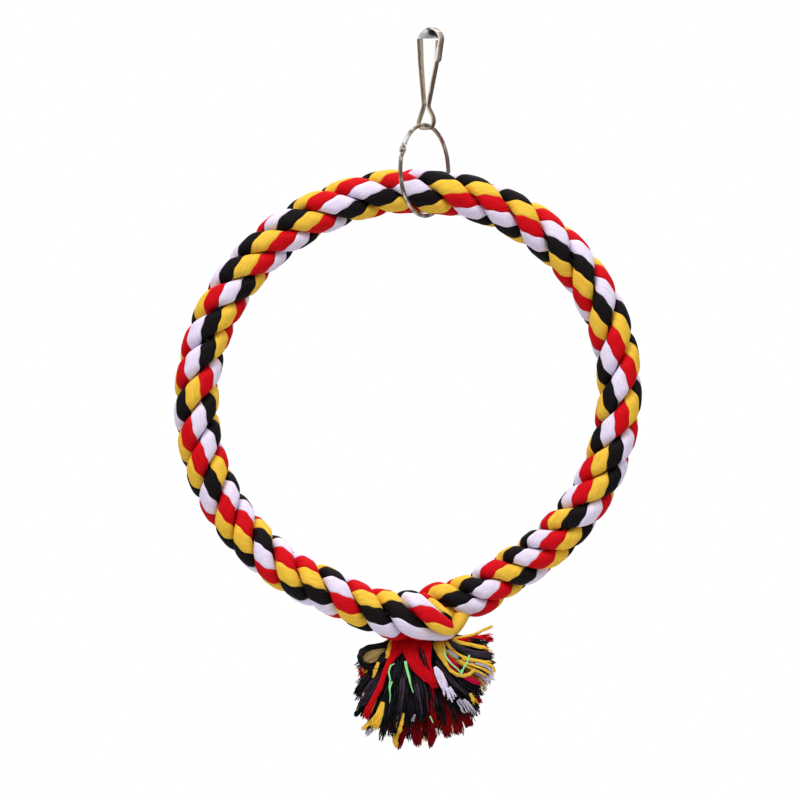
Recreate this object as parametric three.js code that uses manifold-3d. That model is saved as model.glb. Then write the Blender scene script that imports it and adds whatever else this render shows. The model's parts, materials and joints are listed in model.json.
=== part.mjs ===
// Rope ring swing for a bird cage: a snap hook, a link ring and a ring of laid cotton rope with a tassel.
// Millimetres, +Z up, front towards -Y. The origin is the seat under the hook's crown.

import * as THREE from 'three';
import { mergeVertices } from 'three/addons/utils/BufferGeometryUtils.js';
import Module from 'manifold-3d';

const wasm = await Module();
wasm.setup();

// Rope: three strands laid round a core wire
const ROPE_DIAMETER = 24;
const STRAND_COUNT = 3;

// Rope ring, seen from the front: turns are degrees clockwise from the top
const RING_RADIUS = 111;
const RING_OVAL = 2.5;
const OVAL_TURN = 64.5;
const HANG_TURN = 4.6;
const FRONT_END_TURN = -191;
const BACK_END_TURN = 173.5;
const FRONT_LEAN = 7;
const FRONT_LEAN_TURNS = [155, 180];
const BACK_LEAN = 4.5;
const BACK_LEAN_TURNS = [152, 161];
const FRONT_DROP = 10.5;
const BACK_DROP = 13.5;
const FRONT_TAPER_TURN = 181;
const BACK_TAPER_TURN = 164;
const FRONT_CROSS_TURNS = [120, 165];
const BACK_CROSS_TURNS = [115, 155];
const END_DIAMETER = 8.5;
const CORE_MARGIN_TURN = 8;

// The lay of the rope, in strands passing the front: its rate per radian, its start and its unevenness
const LAY_RATE = 6.14;
const LAY_START = -0.435;
const LAY_UNEVEN = 0.63;
const LAY_UNEVEN_TURN = 68;
const LAY_UNEVEN_TWICE = 0.11;
const LAY_UNEVEN_TWICE_TURN = 43;
// At the hang the lay is pushed on until the crest of a strand lies on the link ring
const LAY_PUSH = 0.4;
const LAY_PUSH_WIDTH = 22;

// Link ring, a binder ring of round wire that opens at a rivet
const LINK_WIRE = 2.2;
const LINK_RADIUS = 24.2;
const LINK_TURN = 58;
const LINK_SHIFT = -1.2;
const LINK_HINGE_TURN = 155;
const LINK_TAB_RADIUS = 2.1;
const LINK_CATCH_LAP = 2;
const RIVET_RADIUS = 0.55;
const RIVET_HEAD_RADIUS = 1.3;
const RIVET_HEAD_HEIGHT = 0.5;
const RIVET_TOP_RADIUS = 0.9;

// Snap hook, one bent strip with a dished hood over its crown
const HOOK_TURN = -35;
const STRIP_WIDTH = 3.2;
const STRIP_THICKNESS = 1.4;
const STRIP_EDGE = 0.45;
const HOOD_RADIUS = 7;
const HOOD_WALL = 1.15;
const HOOD_PLATE = 1.2;
const HOOD_FLANGE_DEPTH = 2.4;
const HOOD_TAIL = 12;
const GATE_WIDTH = 3;
const GATE_TIP_DROP = 2.4;
const GATE_BEND_DROP = 12.5;
const KNEE_DROP = 20;
const NECK_DROP = 34.4;
const NECK_OFFSET = -3.15;
const EYE_HALF_WIDTH = 5.3;
const EYE_HEIGHT = 12.9;
const EYE_FLAT_HALF = 3.3;
const EYE_CORNER_RISE = 3.1;
const EYE_OFFSET = -2.4;
const STRIP_BEND = 2.2;

// Tassel: yarn bundles that fan out of a tied neck under the crossing
const NECK_RADIUS = 3.3;
const NECK_LEFT = -15;
const NECK_RIGHT = 5;
const NECK_ROUNDING = 1.5;
const NECK_PLACE = 10.6;
const NECK_NESTLE = 0.6;
const TIE_PLACE = -3;
const TIE_WIDTH = 4;
const TIE_THICKNESS = 0.6;
const BUNDLES_ACROSS = 6;
const BUNDLE_ROWS = ['front', 'middle', 'back'];
const FAN_ROOT_DEPTH = 10;
const FAN_TIP_DEPTH = 38;
const FAN_ROOT_LEFT = -15;
const FAN_ROOT_RIGHT = 12;
// The fan's outline from left to right, from the neck's middle: where the bundles end
const FAN_TIPS = [
  [-37.8, -17.4],
  [-35.1, -47.2],
  [-16, -58.9],
  [2.1, -62],
  [24, -53.5],
  [35.7, -30.1],
  [37.3, -4],
];

// Clearances
const SEAT_GAP = 0.3;
const RUNNING_GAP = 0.2;
const STRAND_GAP = 0.2;
const CORE_GAP = 0.6;
const BUNDLE_GAP = 0.3;
const CUT_PAST = 1;

// Facets
const STRAND_SIDES = 8;
const STRAND_STEPS_PER_TURN = 12;
const CORE_SIDES = 6;
const CORE_STEPS = 110;
const LINK_SIDES = 10;
const LINK_STEPS = 30;
const PIN_SIDES = 16;
const BEND_STEPS = 5;
const ARC_STEPS = 14;
const BUNDLE_SIDES = 8;
const FIT_STEPS = 40;

const RED = 0xc8101c;
const YELLOW = 0xeab83c;
const BLACK = 0x17181a;
const WHITE = 0xe4deee;
const STEEL = 0xb4aca4;

const radians = THREE.MathUtils.degToRad;

// Goes smoothly from 0 to 1 while the value goes from the first to the second of a pair
function rise(value, pair) {
  return THREE.MathUtils.smoothstep(value, pair[0], pair[1]);
}

function named(name, geometry, color, metalness, roughness) {
  const mesh = new THREE.Mesh(geometry, new THREE.MeshStandardMaterial({ color, metalness, roughness }));
  mesh.name = name;
  return mesh;
}

const steelPart = (name, geometry) => named(name, geometry, STEEL, 1, 0.3);
const yarnPart = (name, geometry, color) => named(name, geometry, color, 0, 0.9);

// Solids for joining and cutting
function toSolid(geometry) {
  const bare = geometry.clone();
  bare.deleteAttribute('normal');
  bare.deleteAttribute('uv');
  const merged = mergeVertices(bare, 1e-4);
  return new wasm.Manifold(new wasm.Mesh({
    numProp: 3,
    vertProperties: new Float32Array(merged.attributes.position.array),
    triVerts: new Uint32Array(merged.index.array),
  }));
}

function toGeometry(solid) {
  const mesh = solid.getMesh();
  const geometry = new THREE.BufferGeometry();
  const corners = new THREE.Float32BufferAttribute(mesh.vertProperties, mesh.numProp);
  geometry.setAttribute('position', corners);
  geometry.setIndex(new THREE.BufferAttribute(new Uint32Array(mesh.triVerts), 1));
  geometry.computeVertexNormals();
  return geometry;
}

// A closed body through rings of points, each ring going the same way round, with flat ends
function loft(rings) {
  const sides = rings[0].length;
  const corners = rings.flat().flatMap((point) => point.toArray());
  const faces = [];
  for (let ring = 0; ring + 1 < rings.length; ring += 1) {
    for (let side = 0; side < sides; side += 1) {
      const next = (side + 1) % sides;
      const low = ring * sides;
      const high = low + sides;
      faces.push(low + side, low + next, high + next);
      faces.push(low + side, high + next, high + side);
    }
  }
  const last = (rings.length - 1) * sides;
  for (let side = 1; side + 1 < sides; side += 1) {
    faces.push(0, side + 1, side);
    faces.push(last, last + side, last + side + 1);
  }
  const geometry = new THREE.BufferGeometry();
  geometry.setAttribute('position', new THREE.Float32BufferAttribute(corners, 3));
  geometry.setIndex(faces);
  geometry.computeVertexNormals();
  return geometry;
}

function circleShape(radius, sides) {
  const corners = [];
  for (let side = 0; side < sides; side += 1) {
    const angle = (2 * Math.PI * side) / sides;
    corners.push(new THREE.Vector2(radius * Math.cos(angle), radius * Math.sin(angle)));
  }
  return new THREE.Shape(corners);
}

function tube(curve, radius, sides, steps) {
  const options = { extrudePath: curve, steps, bevelEnabled: false };
  return new THREE.ExtrudeGeometry(circleShape(radius, sides), options);
}

// A shape drawn in the XZ plane and given a thickness from one depth to another along Y
function plate(shape, nearDepth, farDepth, edge = 0) {
  const geometry = new THREE.ExtrudeGeometry(shape, {
    depth: farDepth - nearDepth - 2 * edge,
    curveSegments: ARC_STEPS,
    bevelEnabled: edge > 0,
    bevelSegments: 1,
    bevelThickness: edge,
    bevelSize: edge,
    bevelOffset: -edge,
  });
  geometry.rotateX(Math.PI / 2);
  geometry.translate(0, farDepth - edge, 0);
  return geometry;
}

function block(low, high) {
  const size = high.map((value, axis) => value - low[axis]);
  const geometry = new THREE.BoxGeometry(...size);
  geometry.translate(...high.map((value, axis) => (value + low[axis]) / 2));
  return geometry;
}

// The outline of a strip bent along straight runs with rounded corners
function bentStrip(corners, thickness, bend) {
  const points = corners.map((corner) => new THREE.Vector2(...corner));
  const path = new THREE.Path();
  path.moveTo(points[0].x, points[0].y);
  for (let index = 1; index + 1 < points.length; index += 1) {
    const corner = points[index];
    const [before, after] = [points[index - 1], points[index + 1]].map((neighbour) => {
      return corner.clone().lerp(neighbour, bend / corner.distanceTo(neighbour));
    });
    path.lineTo(before.x, before.y);
    path.quadraticCurveTo(corner.x, corner.y, after.x, after.y);
  }
  path.lineTo(points.at(-1).x, points.at(-1).y);
  const line = path.getPoints(BEND_STEPS);
  const left = [];
  const right = [];
  line.forEach((point, index) => {
    const ahead = line[Math.min(index + 1, line.length - 1)];
    const behind = line[Math.max(index - 1, 0)];
    const along = ahead.clone().sub(behind).normalize();
    const across = new THREE.Vector2(-along.y, along.x).multiplyScalar(thickness / 2);
    left.push(point.clone().add(across));
    right.unshift(point.clone().sub(across));
  });
  return new THREE.Shape([...left, ...right]);
}

// Snap hook: its plane is drawn as XZ, with the seat at the height zero
const hoodHalfWidth = GATE_WIDTH / 2 + SEAT_GAP + HOOD_PLATE;
const hoodInside = HOOD_RADIUS - HOOD_WALL;
const spineLine = HOOD_RADIUS - STRIP_THICKNESS / 2;
const neckHalfGap = (STRIP_THICKNESS + SEAT_GAP) / 2;
const eyeBottom = -NECK_DROP - EYE_HEIGHT;
const gateLine = hoodInside - SEAT_GAP - STRIP_THICKNESS / 2;
const neckRight = NECK_OFFSET + neckHalfGap;

function hookBody() {
  const strip = bentStrip([
    [-spineLine, HOOD_WALL],
    [-spineLine, -KNEE_DROP],
    [NECK_OFFSET - neckHalfGap, -NECK_DROP],
    [EYE_OFFSET - EYE_HALF_WIDTH, eyeBottom + EYE_CORNER_RISE],
    [EYE_OFFSET - EYE_FLAT_HALF, eyeBottom],
    [EYE_OFFSET + EYE_FLAT_HALF, eyeBottom],
    [EYE_OFFSET + EYE_HALF_WIDTH, eyeBottom + EYE_CORNER_RISE],
    [neckRight, -NECK_DROP - STRIP_THICKNESS / 2],
  ], STRIP_THICKNESS, STRIP_BEND / 2);
  const hood = new THREE.Shape();
  hood.moveTo(HOOD_RADIUS, 0);
  hood.absarc(0, 0, HOOD_RADIUS, 0, Math.PI, false);
  hood.lineTo(hoodInside - HOOD_FLANGE_DEPTH, 0);
  hood.lineTo(hoodInside - HOOD_FLANGE_DEPTH, -HOOD_TAIL + HOOD_WALL);
  hood.lineTo(hoodInside - HOOD_FLANGE_DEPTH + HOOD_WALL, -HOOD_TAIL);
  hood.lineTo(HOOD_RADIUS - HOOD_WALL / 2, -HOOD_TAIL);
  hood.lineTo(HOOD_RADIUS, -HOOD_TAIL + HOOD_WALL);
  const dish = new THREE.Shape();
  dish.moveTo(hoodInside, 0);
  dish.absarc(0, 0, hoodInside, 0, Math.PI, false);
  const slotLow = [0, -GATE_WIDTH / 2 - SEAT_GAP, -HOOD_TAIL - CUT_PAST];
  const slotHigh = [hoodInside, GATE_WIDTH / 2 + SEAT_GAP, CUT_PAST];
  const platePlane = hoodHalfWidth - HOOD_PLATE;
  const body = toSolid(plate(hood, -hoodHalfWidth, hoodHalfWidth))
    .add(toSolid(plate(strip, -STRIP_WIDTH / 2, STRIP_WIDTH / 2, STRIP_EDGE)))
    .subtract(toSolid(plate(dish, -hoodHalfWidth - CUT_PAST, platePlane)))
    .subtract(toSolid(block(slotLow, slotHigh)));
  return steelPart('snap_hook_body', toGeometry(body));
}

function hookGate() {
  const strip = bentStrip([
    [neckRight, -NECK_DROP],
    [gateLine, -GATE_BEND_DROP],
    [gateLine, -GATE_TIP_DROP],
  ], STRIP_THICKNESS, STRIP_BEND);
  return steelPart('snap_hook_gate', plate(strip, -GATE_WIDTH / 2, GATE_WIDTH / 2, STRIP_EDGE));
}

const hook = new THREE.Group();
hook.rotation.z = radians(HOOK_TURN);
const seatDepth = hoodHalfWidth - HOOD_PLATE / 2;
hook.position.set(seatDepth * Math.sin(hook.rotation.z), -seatDepth * Math.cos(hook.rotation.z), 0);
hook.add(hookBody(), hookGate());

// Link ring: its plane is drawn as XZ round its centre, turns anticlockwise from +X
class LinkArc extends THREE.Curve {
  constructor(fromTurn, toTurn) {
    super();
    this.fromTurn = fromTurn;
    this.toTurn = toTurn;
  }

  getPoint(share, target = new THREE.Vector3()) {
    const turn = radians(THREE.MathUtils.lerp(this.fromTurn, this.toTurn, share));
    return target.set(LINK_RADIUS * Math.cos(turn), 0, LINK_RADIUS * Math.sin(turn));
  }
}

const linkHinge = new LinkArc(LINK_HINGE_TURN, LINK_HINGE_TURN).getPoint(0);
const catchTurn = LINK_HINGE_TURN - 180;
const lapTurn = THREE.MathUtils.radToDeg(LINK_CATCH_LAP / LINK_RADIUS);

function hingePin(radius, nearDepth, farDepth) {
  const geometry = new THREE.CylinderGeometry(radius, radius, farDepth - nearDepth, PIN_SIDES);
  geometry.translate(linkHinge.x, (nearDepth + farDepth) / 2, linkHinge.z);
  return toSolid(geometry);
}

// Takes half the wire's thickness away where the two halves lap at the catch
function catchCut(nearDepth, farDepth) {
  const length = 2 * LINK_CATCH_LAP + SEAT_GAP;
  const geometry = block([-LINK_WIRE, nearDepth, -length], [LINK_WIRE, farDepth, length]);
  geometry.rotateY(-radians(catchTurn));
  const place = new LinkArc(catchTurn, catchTurn).getPoint(0);
  geometry.translate(place.x, 0, place.z);
  return toSolid(geometry);
}

// Half of the ring, on the far side of the lap plane or on the near one
function linkHalf(name, catchEnd, side) {
  const wire = toSolid(tube(new LinkArc(LINK_HINGE_TURN, catchEnd), LINK_WIRE / 2, LINK_SIDES, LINK_STEPS));
  const face = (side * SEAT_GAP) / 2;
  const outside = (side * LINK_WIRE) / 2;
  const beyond = -side * (LINK_WIRE + CUT_PAST);
  const span = (one, other) => [Math.min(one, other), Math.max(one, other)];
  const half = wire
    .add(hingePin(LINK_TAB_RADIUS, ...span(face, outside)))
    .subtract(hingePin(LINK_TAB_RADIUS + SEAT_GAP, ...span(beyond, face)))
    .subtract(hingePin(RIVET_RADIUS + RUNNING_GAP, -LINK_WIRE, LINK_WIRE))
    .subtract(catchCut(...span(beyond, face)));
  return steelPart(name, toGeometry(half));
}

function hingeRivet() {
  const under = LINK_WIRE / 2 + RUNNING_GAP;
  const top = under + RIVET_HEAD_HEIGHT;
  const half = [[RIVET_RADIUS, under], [RIVET_HEAD_RADIUS, under], [RIVET_TOP_RADIUS, top], [0, top]];
  const upper = half.map(([radius, height]) => new THREE.Vector2(radius, height));
  const lower = half.map(([radius, height]) => new THREE.Vector2(radius, -height)).reverse();
  const geometry = new THREE.LatheGeometry([...lower, ...upper], PIN_SIDES);
  geometry.translate(linkHinge.x, 0, linkHinge.z);
  return steelPart('link_ring_rivet', geometry);
}

const linkTop = eyeBottom + STRIP_THICKNESS / 2 + SEAT_GAP + LINK_WIRE / 2;
const eyeSeat = new THREE.Vector3(EYE_OFFSET + LINK_SHIFT, 0, linkTop);
eyeSeat.applyEuler(hook.rotation).add(hook.position);

const link = new THREE.Group();
link.rotation.z = radians(LINK_TURN);
link.position.set(eyeSeat.x, eyeSeat.y, eyeSeat.z - LINK_RADIUS);
link.add(
  linkHalf('link_ring_upper_half', catchTurn - lapTurn, 1),
  linkHalf('link_ring_lower_half', catchTurn + 360 + lapTurn, -1),
  hingeRivet(),
);

// Rope ring, drawn round its own centre
const crossOffset = ROPE_DIAMETER / 2 + SEAT_GAP;
const layLength = (STRAND_COUNT * RING_RADIUS) / LAY_RATE;

// The thickest strands that lie side by side in the rope, given how steeply they are laid
function strandFit() {
  let thin = 0;
  let thick = ROPE_DIAMETER / 2;
  for (let halving = 0; halving < FIT_STEPS; halving += 1) {
    const middle = (thin + thick) / 2;
    const line = (ROPE_DIAMETER - middle) / 2;
    const slope = (2 * Math.PI * line) / layLength;
    const room = 2 * line * Math.sin(Math.PI / STRAND_COUNT) - middle * Math.hypot(1, slope);
    if (room > STRAND_GAP) {
      thin = middle;
    } else {
      thick = middle;
    }
  }
  return thin;
}

const strandDiameter = strandFit();
const coreDiameter = ROPE_DIAMETER - 2 * strandDiameter - 2 * CORE_GAP;
const ropeLine = (ROPE_DIAMETER - strandDiameter) / 2;
const endShare = END_DIAMETER / ROPE_DIAMETER;
const frontTaper = [FRONT_TAPER_TURN, -FRONT_END_TURN];
const backTaper = [BACK_TAPER_TURN, BACK_END_TURN];

// How thick the rope is there, as a share of its full diameter
function ropeShare(turn) {
  return 1 - (1 - endShare) * (rise(-turn, frontTaper) + rise(turn, backTaper));
}

function ropeCentre(turn) {
  const oval = RING_RADIUS + RING_OVAL * Math.cos(2 * radians(turn - OVAL_TURN));
  const front = FRONT_LEAN * rise(-turn, FRONT_LEAN_TURNS) + FRONT_DROP * rise(-turn, frontTaper);
  const back = BACK_LEAN * rise(turn, BACK_LEAN_TURNS) + BACK_DROP * rise(turn, backTaper);
  const radius = oval + front + back;
  const side = rise(turn, BACK_CROSS_TURNS) - rise(-turn, FRONT_CROSS_TURNS);
  const depth = side * crossOffset * (1 + ropeShare(turn)) / 2;
  return new THREE.Vector3(radius * Math.sin(radians(turn)), depth, radius * Math.cos(radians(turn)));
}

// Directions along the rope, outwards from the ring and to the front
function ropeFrame(turn) {
  const step = 0.5;
  const along = ropeCentre(turn + step).sub(ropeCentre(turn - step)).normalize();
  const outward = new THREE.Vector3(Math.sin(radians(turn)), 0, Math.cos(radians(turn)));
  outward.addScaledVector(along, -outward.dot(along)).normalize();
  return { along, outward, front: along.clone().cross(outward) };
}

// Strands that have passed the front of the rope since its top
function layCount(turn) {
  const once = LAY_UNEVEN * Math.cos(radians(turn + LAY_UNEVEN_TURN));
  const twice = LAY_UNEVEN_TWICE * Math.cos(radians(2 * turn + LAY_UNEVEN_TWICE_TURN));
  const push = LAY_PUSH * Math.exp(-(((turn - HANG_TURN) / LAY_PUSH_WIDTH) ** 2));
  return LAY_START + LAY_RATE * radians(turn) + once + twice + push;
}

function strandCentre(strand, turn) {
  const angle = Math.PI / 2 + (2 * Math.PI * (layCount(turn) - strand)) / STRAND_COUNT;
  const { outward, front } = ropeFrame(turn);
  const reach = ropeLine * ropeShare(turn);
  const centre = ropeCentre(turn).addScaledVector(outward, Math.cos(angle) * reach);
  return centre.addScaledVector(front, Math.sin(angle) * reach);
}

function ropeStrand(strand, color) {
  const laidTurns = (layCount(BACK_END_TURN) - layCount(FRONT_END_TURN)) / STRAND_COUNT;
  const steps = Math.round(laidTurns * STRAND_STEPS_PER_TURN);
  const nudge = 0.3;
  const rings = [];
  for (let step = 0; step <= steps; step += 1) {
    const turn = THREE.MathUtils.lerp(FRONT_END_TURN, BACK_END_TURN, step / steps);
    const centre = strandCentre(strand, turn);
    const along = strandCentre(strand, turn + nudge).sub(strandCentre(strand, turn - nudge)).normalize();
    const out = centre.clone().sub(ropeCentre(turn));
    out.addScaledVector(along, -out.dot(along)).normalize();
    const across = along.clone().cross(out);
    const radius = (strandDiameter / 2) * ropeShare(turn);
    const ring = [];
    for (let side = 0; side < STRAND_SIDES; side += 1) {
      const angle = (2 * Math.PI * side) / STRAND_SIDES;
      const point = centre.clone().addScaledVector(out, radius * Math.cos(angle));
      ring.push(point.addScaledVector(across, radius * Math.sin(angle)));
    }
    rings.push(ring);
  }
  return yarnPart(`rope_strand_${strand + 1}`, loft(rings), color);
}

class CoreLine extends THREE.Curve {
  getPoint(share, target = new THREE.Vector3()) {
    const from = -FRONT_TAPER_TURN + CORE_MARGIN_TURN;
    const to = BACK_TAPER_TURN - CORE_MARGIN_TURN;
    return target.copy(ropeCentre(THREE.MathUtils.lerp(from, to, share)));
  }
}

function coreWire() {
  return steelPart('rope_core_wire', tube(new CoreLine(), coreDiameter / 2, CORE_SIDES, CORE_STEPS));
}

// Tassel, drawn from the middle of its neck
const tieFrom = TIE_PLACE - TIE_WIDTH / 2;
const tieTo = TIE_PLACE + TIE_WIDTH / 2;
const tieInside = NECK_RADIUS - TIE_THICKNESS;

// A body turned round the neck's line, from pairs of a radius and a place along the line
function turnedAcross(profile) {
  const geometry = new THREE.LatheGeometry(profile.map((pair) => new THREE.Vector2(...pair)), PIN_SIDES);
  geometry.rotateZ(-Math.PI / 2);
  return geometry;
}

function tasselNeck() {
  const groove = tieInside - SEAT_GAP;
  const profile = [
    [0, NECK_LEFT],
    [NECK_RADIUS - NECK_ROUNDING, NECK_LEFT],
    [NECK_RADIUS, NECK_LEFT + NECK_ROUNDING],
    [NECK_RADIUS, tieFrom - SEAT_GAP],
    [groove, tieFrom - SEAT_GAP],
    [groove, tieTo + SEAT_GAP],
    [NECK_RADIUS, tieTo + SEAT_GAP],
    [NECK_RADIUS, NECK_RIGHT - NECK_ROUNDING],
    [NECK_RADIUS - NECK_ROUNDING, NECK_RIGHT],
    [0, NECK_RIGHT],
  ];
  return yarnPart('tassel_neck', turnedAcross(profile), RED);
}

function tasselTie() {
  const profile = [
    [tieInside, tieFrom],
    [NECK_RADIUS, tieFrom],
    [NECK_RADIUS, tieTo],
    [tieInside, tieTo],
    [tieInside, tieFrom],
  ];
  return yarnPart('tassel_tie', turnedAcross(profile), WHITE);
}

const fanTop = -NECK_RADIUS - SEAT_GAP;
const fanLeft = new THREE.Vector3(FAN_ROOT_LEFT, 0, fanTop);
const fanRight = new THREE.Vector3(FAN_ROOT_RIGHT, 0, fanTop);
const fanRoots = new THREE.LineCurve3(fanLeft, fanRight);
const fanTips = new THREE.CatmullRomCurve3(FAN_TIPS.map(([x, z]) => new THREE.Vector3(x, 0, z)));

const fanDepth = (along) => THREE.MathUtils.lerp(FAN_ROOT_DEPTH, FAN_TIP_DEPTH, along);
const fanWidth = (along) => THREE.MathUtils.lerp(fanRoots.getLength(), fanTips.getLength(), along);

// A place in the fan: across it from 0 to 1, from front to back as -1 to 1, and along it from 0 to 1
function fanPoint(across, back, along) {
  const point = fanRoots.getPoint(across).lerp(fanTips.getPoint(across), along);
  point.y = (back * fanDepth(along)) / 2;
  return point;
}

// How far along the fan each ring of a bundle lies and how much of its room it fills
const BUNDLE_RINGS = [[0, 0.9], [0.2, 1], [0.5, 1], [0.85, 1], [1, 0.72]];

// A rounded square's corner at an angle, as a share of its half width
function squared(value) {
  return Math.sign(value) * Math.sqrt(Math.abs(value));
}

function yarnBundle(row, column, color) {
  const across = (column + 0.5) / BUNDLES_ACROSS;
  const back = (2 * row + 1) / BUNDLE_ROWS.length - 1;
  const rings = BUNDLE_RINGS.map(([along, fill]) => {
    const halfAcross = (fill * (1 / BUNDLES_ACROSS - BUNDLE_GAP / fanWidth(along))) / 2;
    const halfBack = fill * (1 / BUNDLE_ROWS.length - BUNDLE_GAP / fanDepth(along));
    const ring = [];
    for (let side = 0; side < BUNDLE_SIDES; side += 1) {
      const angle = (2 * Math.PI * (side + 0.5)) / BUNDLE_SIDES;
      const sideways = across + halfAcross * squared(Math.cos(angle));
      ring.push(fanPoint(sideways, back - halfBack * squared(Math.sin(angle)), along));
    }
    return ring;
  });
  return yarnPart(`tassel_bundle_${BUNDLE_ROWS[row]}_${column + 1}`, loft(rings), color);
}

// Colours of the bundles from left to right, the front row first
const BUNDLE_COLORS = [
  [BLACK, RED, BLACK, RED, BLACK, YELLOW],
  [BLACK, BLACK, BLACK, RED, WHITE, YELLOW],
  [BLACK, YELLOW, RED, RED, BLACK, RED],
];

const tassel = new THREE.Group();
tassel.add(tasselNeck(), tasselTie());
BUNDLE_COLORS.forEach((colors, row) => {
  colors.forEach((color, column) => tassel.add(yarnBundle(row, column, color)));
});

const rope = new THREE.Group();
[RED, YELLOW, WHITE].forEach((color, strand) => rope.add(ropeStrand(strand, color)));
rope.add(coreWire(), tassel);

const hangPoint = link.position.clone();
hangPoint.z += -LINK_RADIUS + LINK_WIRE / 2 + SEAT_GAP + ROPE_DIAMETER / 2;
rope.position.copy(hangPoint).sub(ropeCentre(HANG_TURN));
// The neck lies in the valley under the crossing ropes and nestles between the crests of their strands
const neckReach = ROPE_DIAMETER / 2 + SEAT_GAP + NECK_RADIUS - NECK_NESTLE;
const neckSink = Math.sqrt(neckReach ** 2 - crossOffset ** 2);
tassel.position.set(NECK_PLACE, 0, ropeCentre(-180).z - neckSink);

const swing = new THREE.Group();
swing.add(hook, link, rope);

export default swing;
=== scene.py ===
"""Looks of the rope ring swing: laid cotton yarn, a frayed tassel and nickel-plated steel.

Sizes are in millimetres until a mesh is made; turns are degrees clockwise from the top of the ring.
"""

import functools
import json
import math

import bpy
import numpy as np
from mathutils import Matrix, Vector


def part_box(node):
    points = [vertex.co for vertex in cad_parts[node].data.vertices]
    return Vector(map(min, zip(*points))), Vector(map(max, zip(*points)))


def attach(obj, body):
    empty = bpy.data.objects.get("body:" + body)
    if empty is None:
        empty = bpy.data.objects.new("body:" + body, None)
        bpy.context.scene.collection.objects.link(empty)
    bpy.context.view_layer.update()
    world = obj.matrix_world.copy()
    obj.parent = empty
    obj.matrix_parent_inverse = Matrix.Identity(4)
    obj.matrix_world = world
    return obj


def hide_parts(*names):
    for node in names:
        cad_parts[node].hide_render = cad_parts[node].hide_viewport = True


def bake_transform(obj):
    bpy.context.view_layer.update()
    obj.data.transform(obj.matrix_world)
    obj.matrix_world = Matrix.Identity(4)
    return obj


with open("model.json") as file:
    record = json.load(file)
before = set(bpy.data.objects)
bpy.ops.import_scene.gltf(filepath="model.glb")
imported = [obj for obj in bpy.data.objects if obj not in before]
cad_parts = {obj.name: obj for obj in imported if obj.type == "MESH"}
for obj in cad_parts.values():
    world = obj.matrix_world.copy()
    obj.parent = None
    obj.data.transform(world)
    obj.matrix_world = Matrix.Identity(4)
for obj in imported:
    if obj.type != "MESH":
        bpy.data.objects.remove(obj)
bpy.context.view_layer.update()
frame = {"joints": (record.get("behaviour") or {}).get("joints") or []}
scene = bpy.context.scene

MM = 0.001
BACKWARDS = np.array([0.0, 1.0, 0.0])
RANDOM_SEED = 7
random = np.random.default_rng(RANDOM_SEED)

# The photograph's frame: millimetres in a pixel, and the pixel that shows the hook's seat
PIXEL = 0.5324
IMAGE_PIXELS = 800
SEAT_PIXEL = (432.6, 40.0)
CAMERA_DISTANCE = 3000.0
CAMERA_REACH = 100000.0
SENSOR_WIDTH = 36.0

# Studio: how bright the surroundings are below and above, the floor, and lights in metres
# with place, size and power
SURROUND_LOW = 0.02
SURROUND_HIGH = 0.90
FLOOR_HALF_WIDTH = 700.0
FLOOR_DOWN = 800.0
FLOOR_TONE = (0.86, 0.86, 0.86, 1.0)
BACKDROP_TONE = (1.0, 1.0, 1.0, 1.0)
STUDIO_MIDDLE = (0.0, 0.0, -0.19)
STUDIO_LIGHTS = [
    ("key", (-0.6, -1.1, 1.5), 1.0, 25.0),
    ("fill", (0.9, -1.2, 1.0), 1.0, 8.0),
    ("left", (-1.4, -0.5, 0.0), 0.8, 1.6),
    ("back", (0.2, 0.9, 1.2), 1.0, 8.0),
]

# Rope ring, as in the solids but for its two ends
ROPE_DIAMETER = 24.0
STRAND_COUNT = 3
RING_RADIUS = 111.0
RING_OVAL = 2.5
OVAL_TURN = 64.5
HANG_TURN = 4.6
FRONT_END_TURN = -191.2
BACK_END_TURN = 183.0
FRONT_LEAN = 7.0
FRONT_LEAN_TURNS = (155.0, 180.0)
BACK_LEAN = 3.5
BACK_LEAN_TURNS = (152.0, 161.0)
FRONT_DROP = 9.0
FRONT_DROP_TURNS = (183.0, 193.5)
BACK_DROP = 8.0
FRONT_SWELL = 0.13
FRONT_SWELL_TURNS = (168.0, 180.0)
FRONT_ROUND_TURNS = (183.0, 192.2)
BACK_TAPER_TURNS = (171.0, 183.0)
FRONT_CROSS_TURNS = (120.0, 165.0)
BACK_CROSS_TURNS = (115.0, 155.0)
BACK_END_DIAMETER = 8.5
SEAT_GAP = 0.3
ROPE_STEP_TURN = 0.5

# Where the rope rests on the link ring, its groove is pressed full: how far along and round,
# and to what radius
HANG_FILL_TURNS = 6.0
HANG_FILL_SIDES = (0.5, 0.95)
HANG_FILL_DEPTHS = (7.0, 10.0)
HANG_FILL_RADIUS = 12.1

# Lay of the strands in the rope, in strands passing the front, its uneven places as
# waves in the ring, strands and turn, and the front end, where it tightens and is then partly held
LAY_RATE = 6.167
LAY_START = -0.461
LAY_WAVES = ((1, 0.98, 70.7), (3, 0.048, 216.8), (4, 0.071, 78.1))
FRONT_LAY = 0.20
FRONT_LAY_TURNS = (172.0, 185.0)
FRONT_LAY_HOLD = -185.0
FRONT_LAY_SHARE = 0.4
HOLD_SOFTNESS = 0.8

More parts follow.
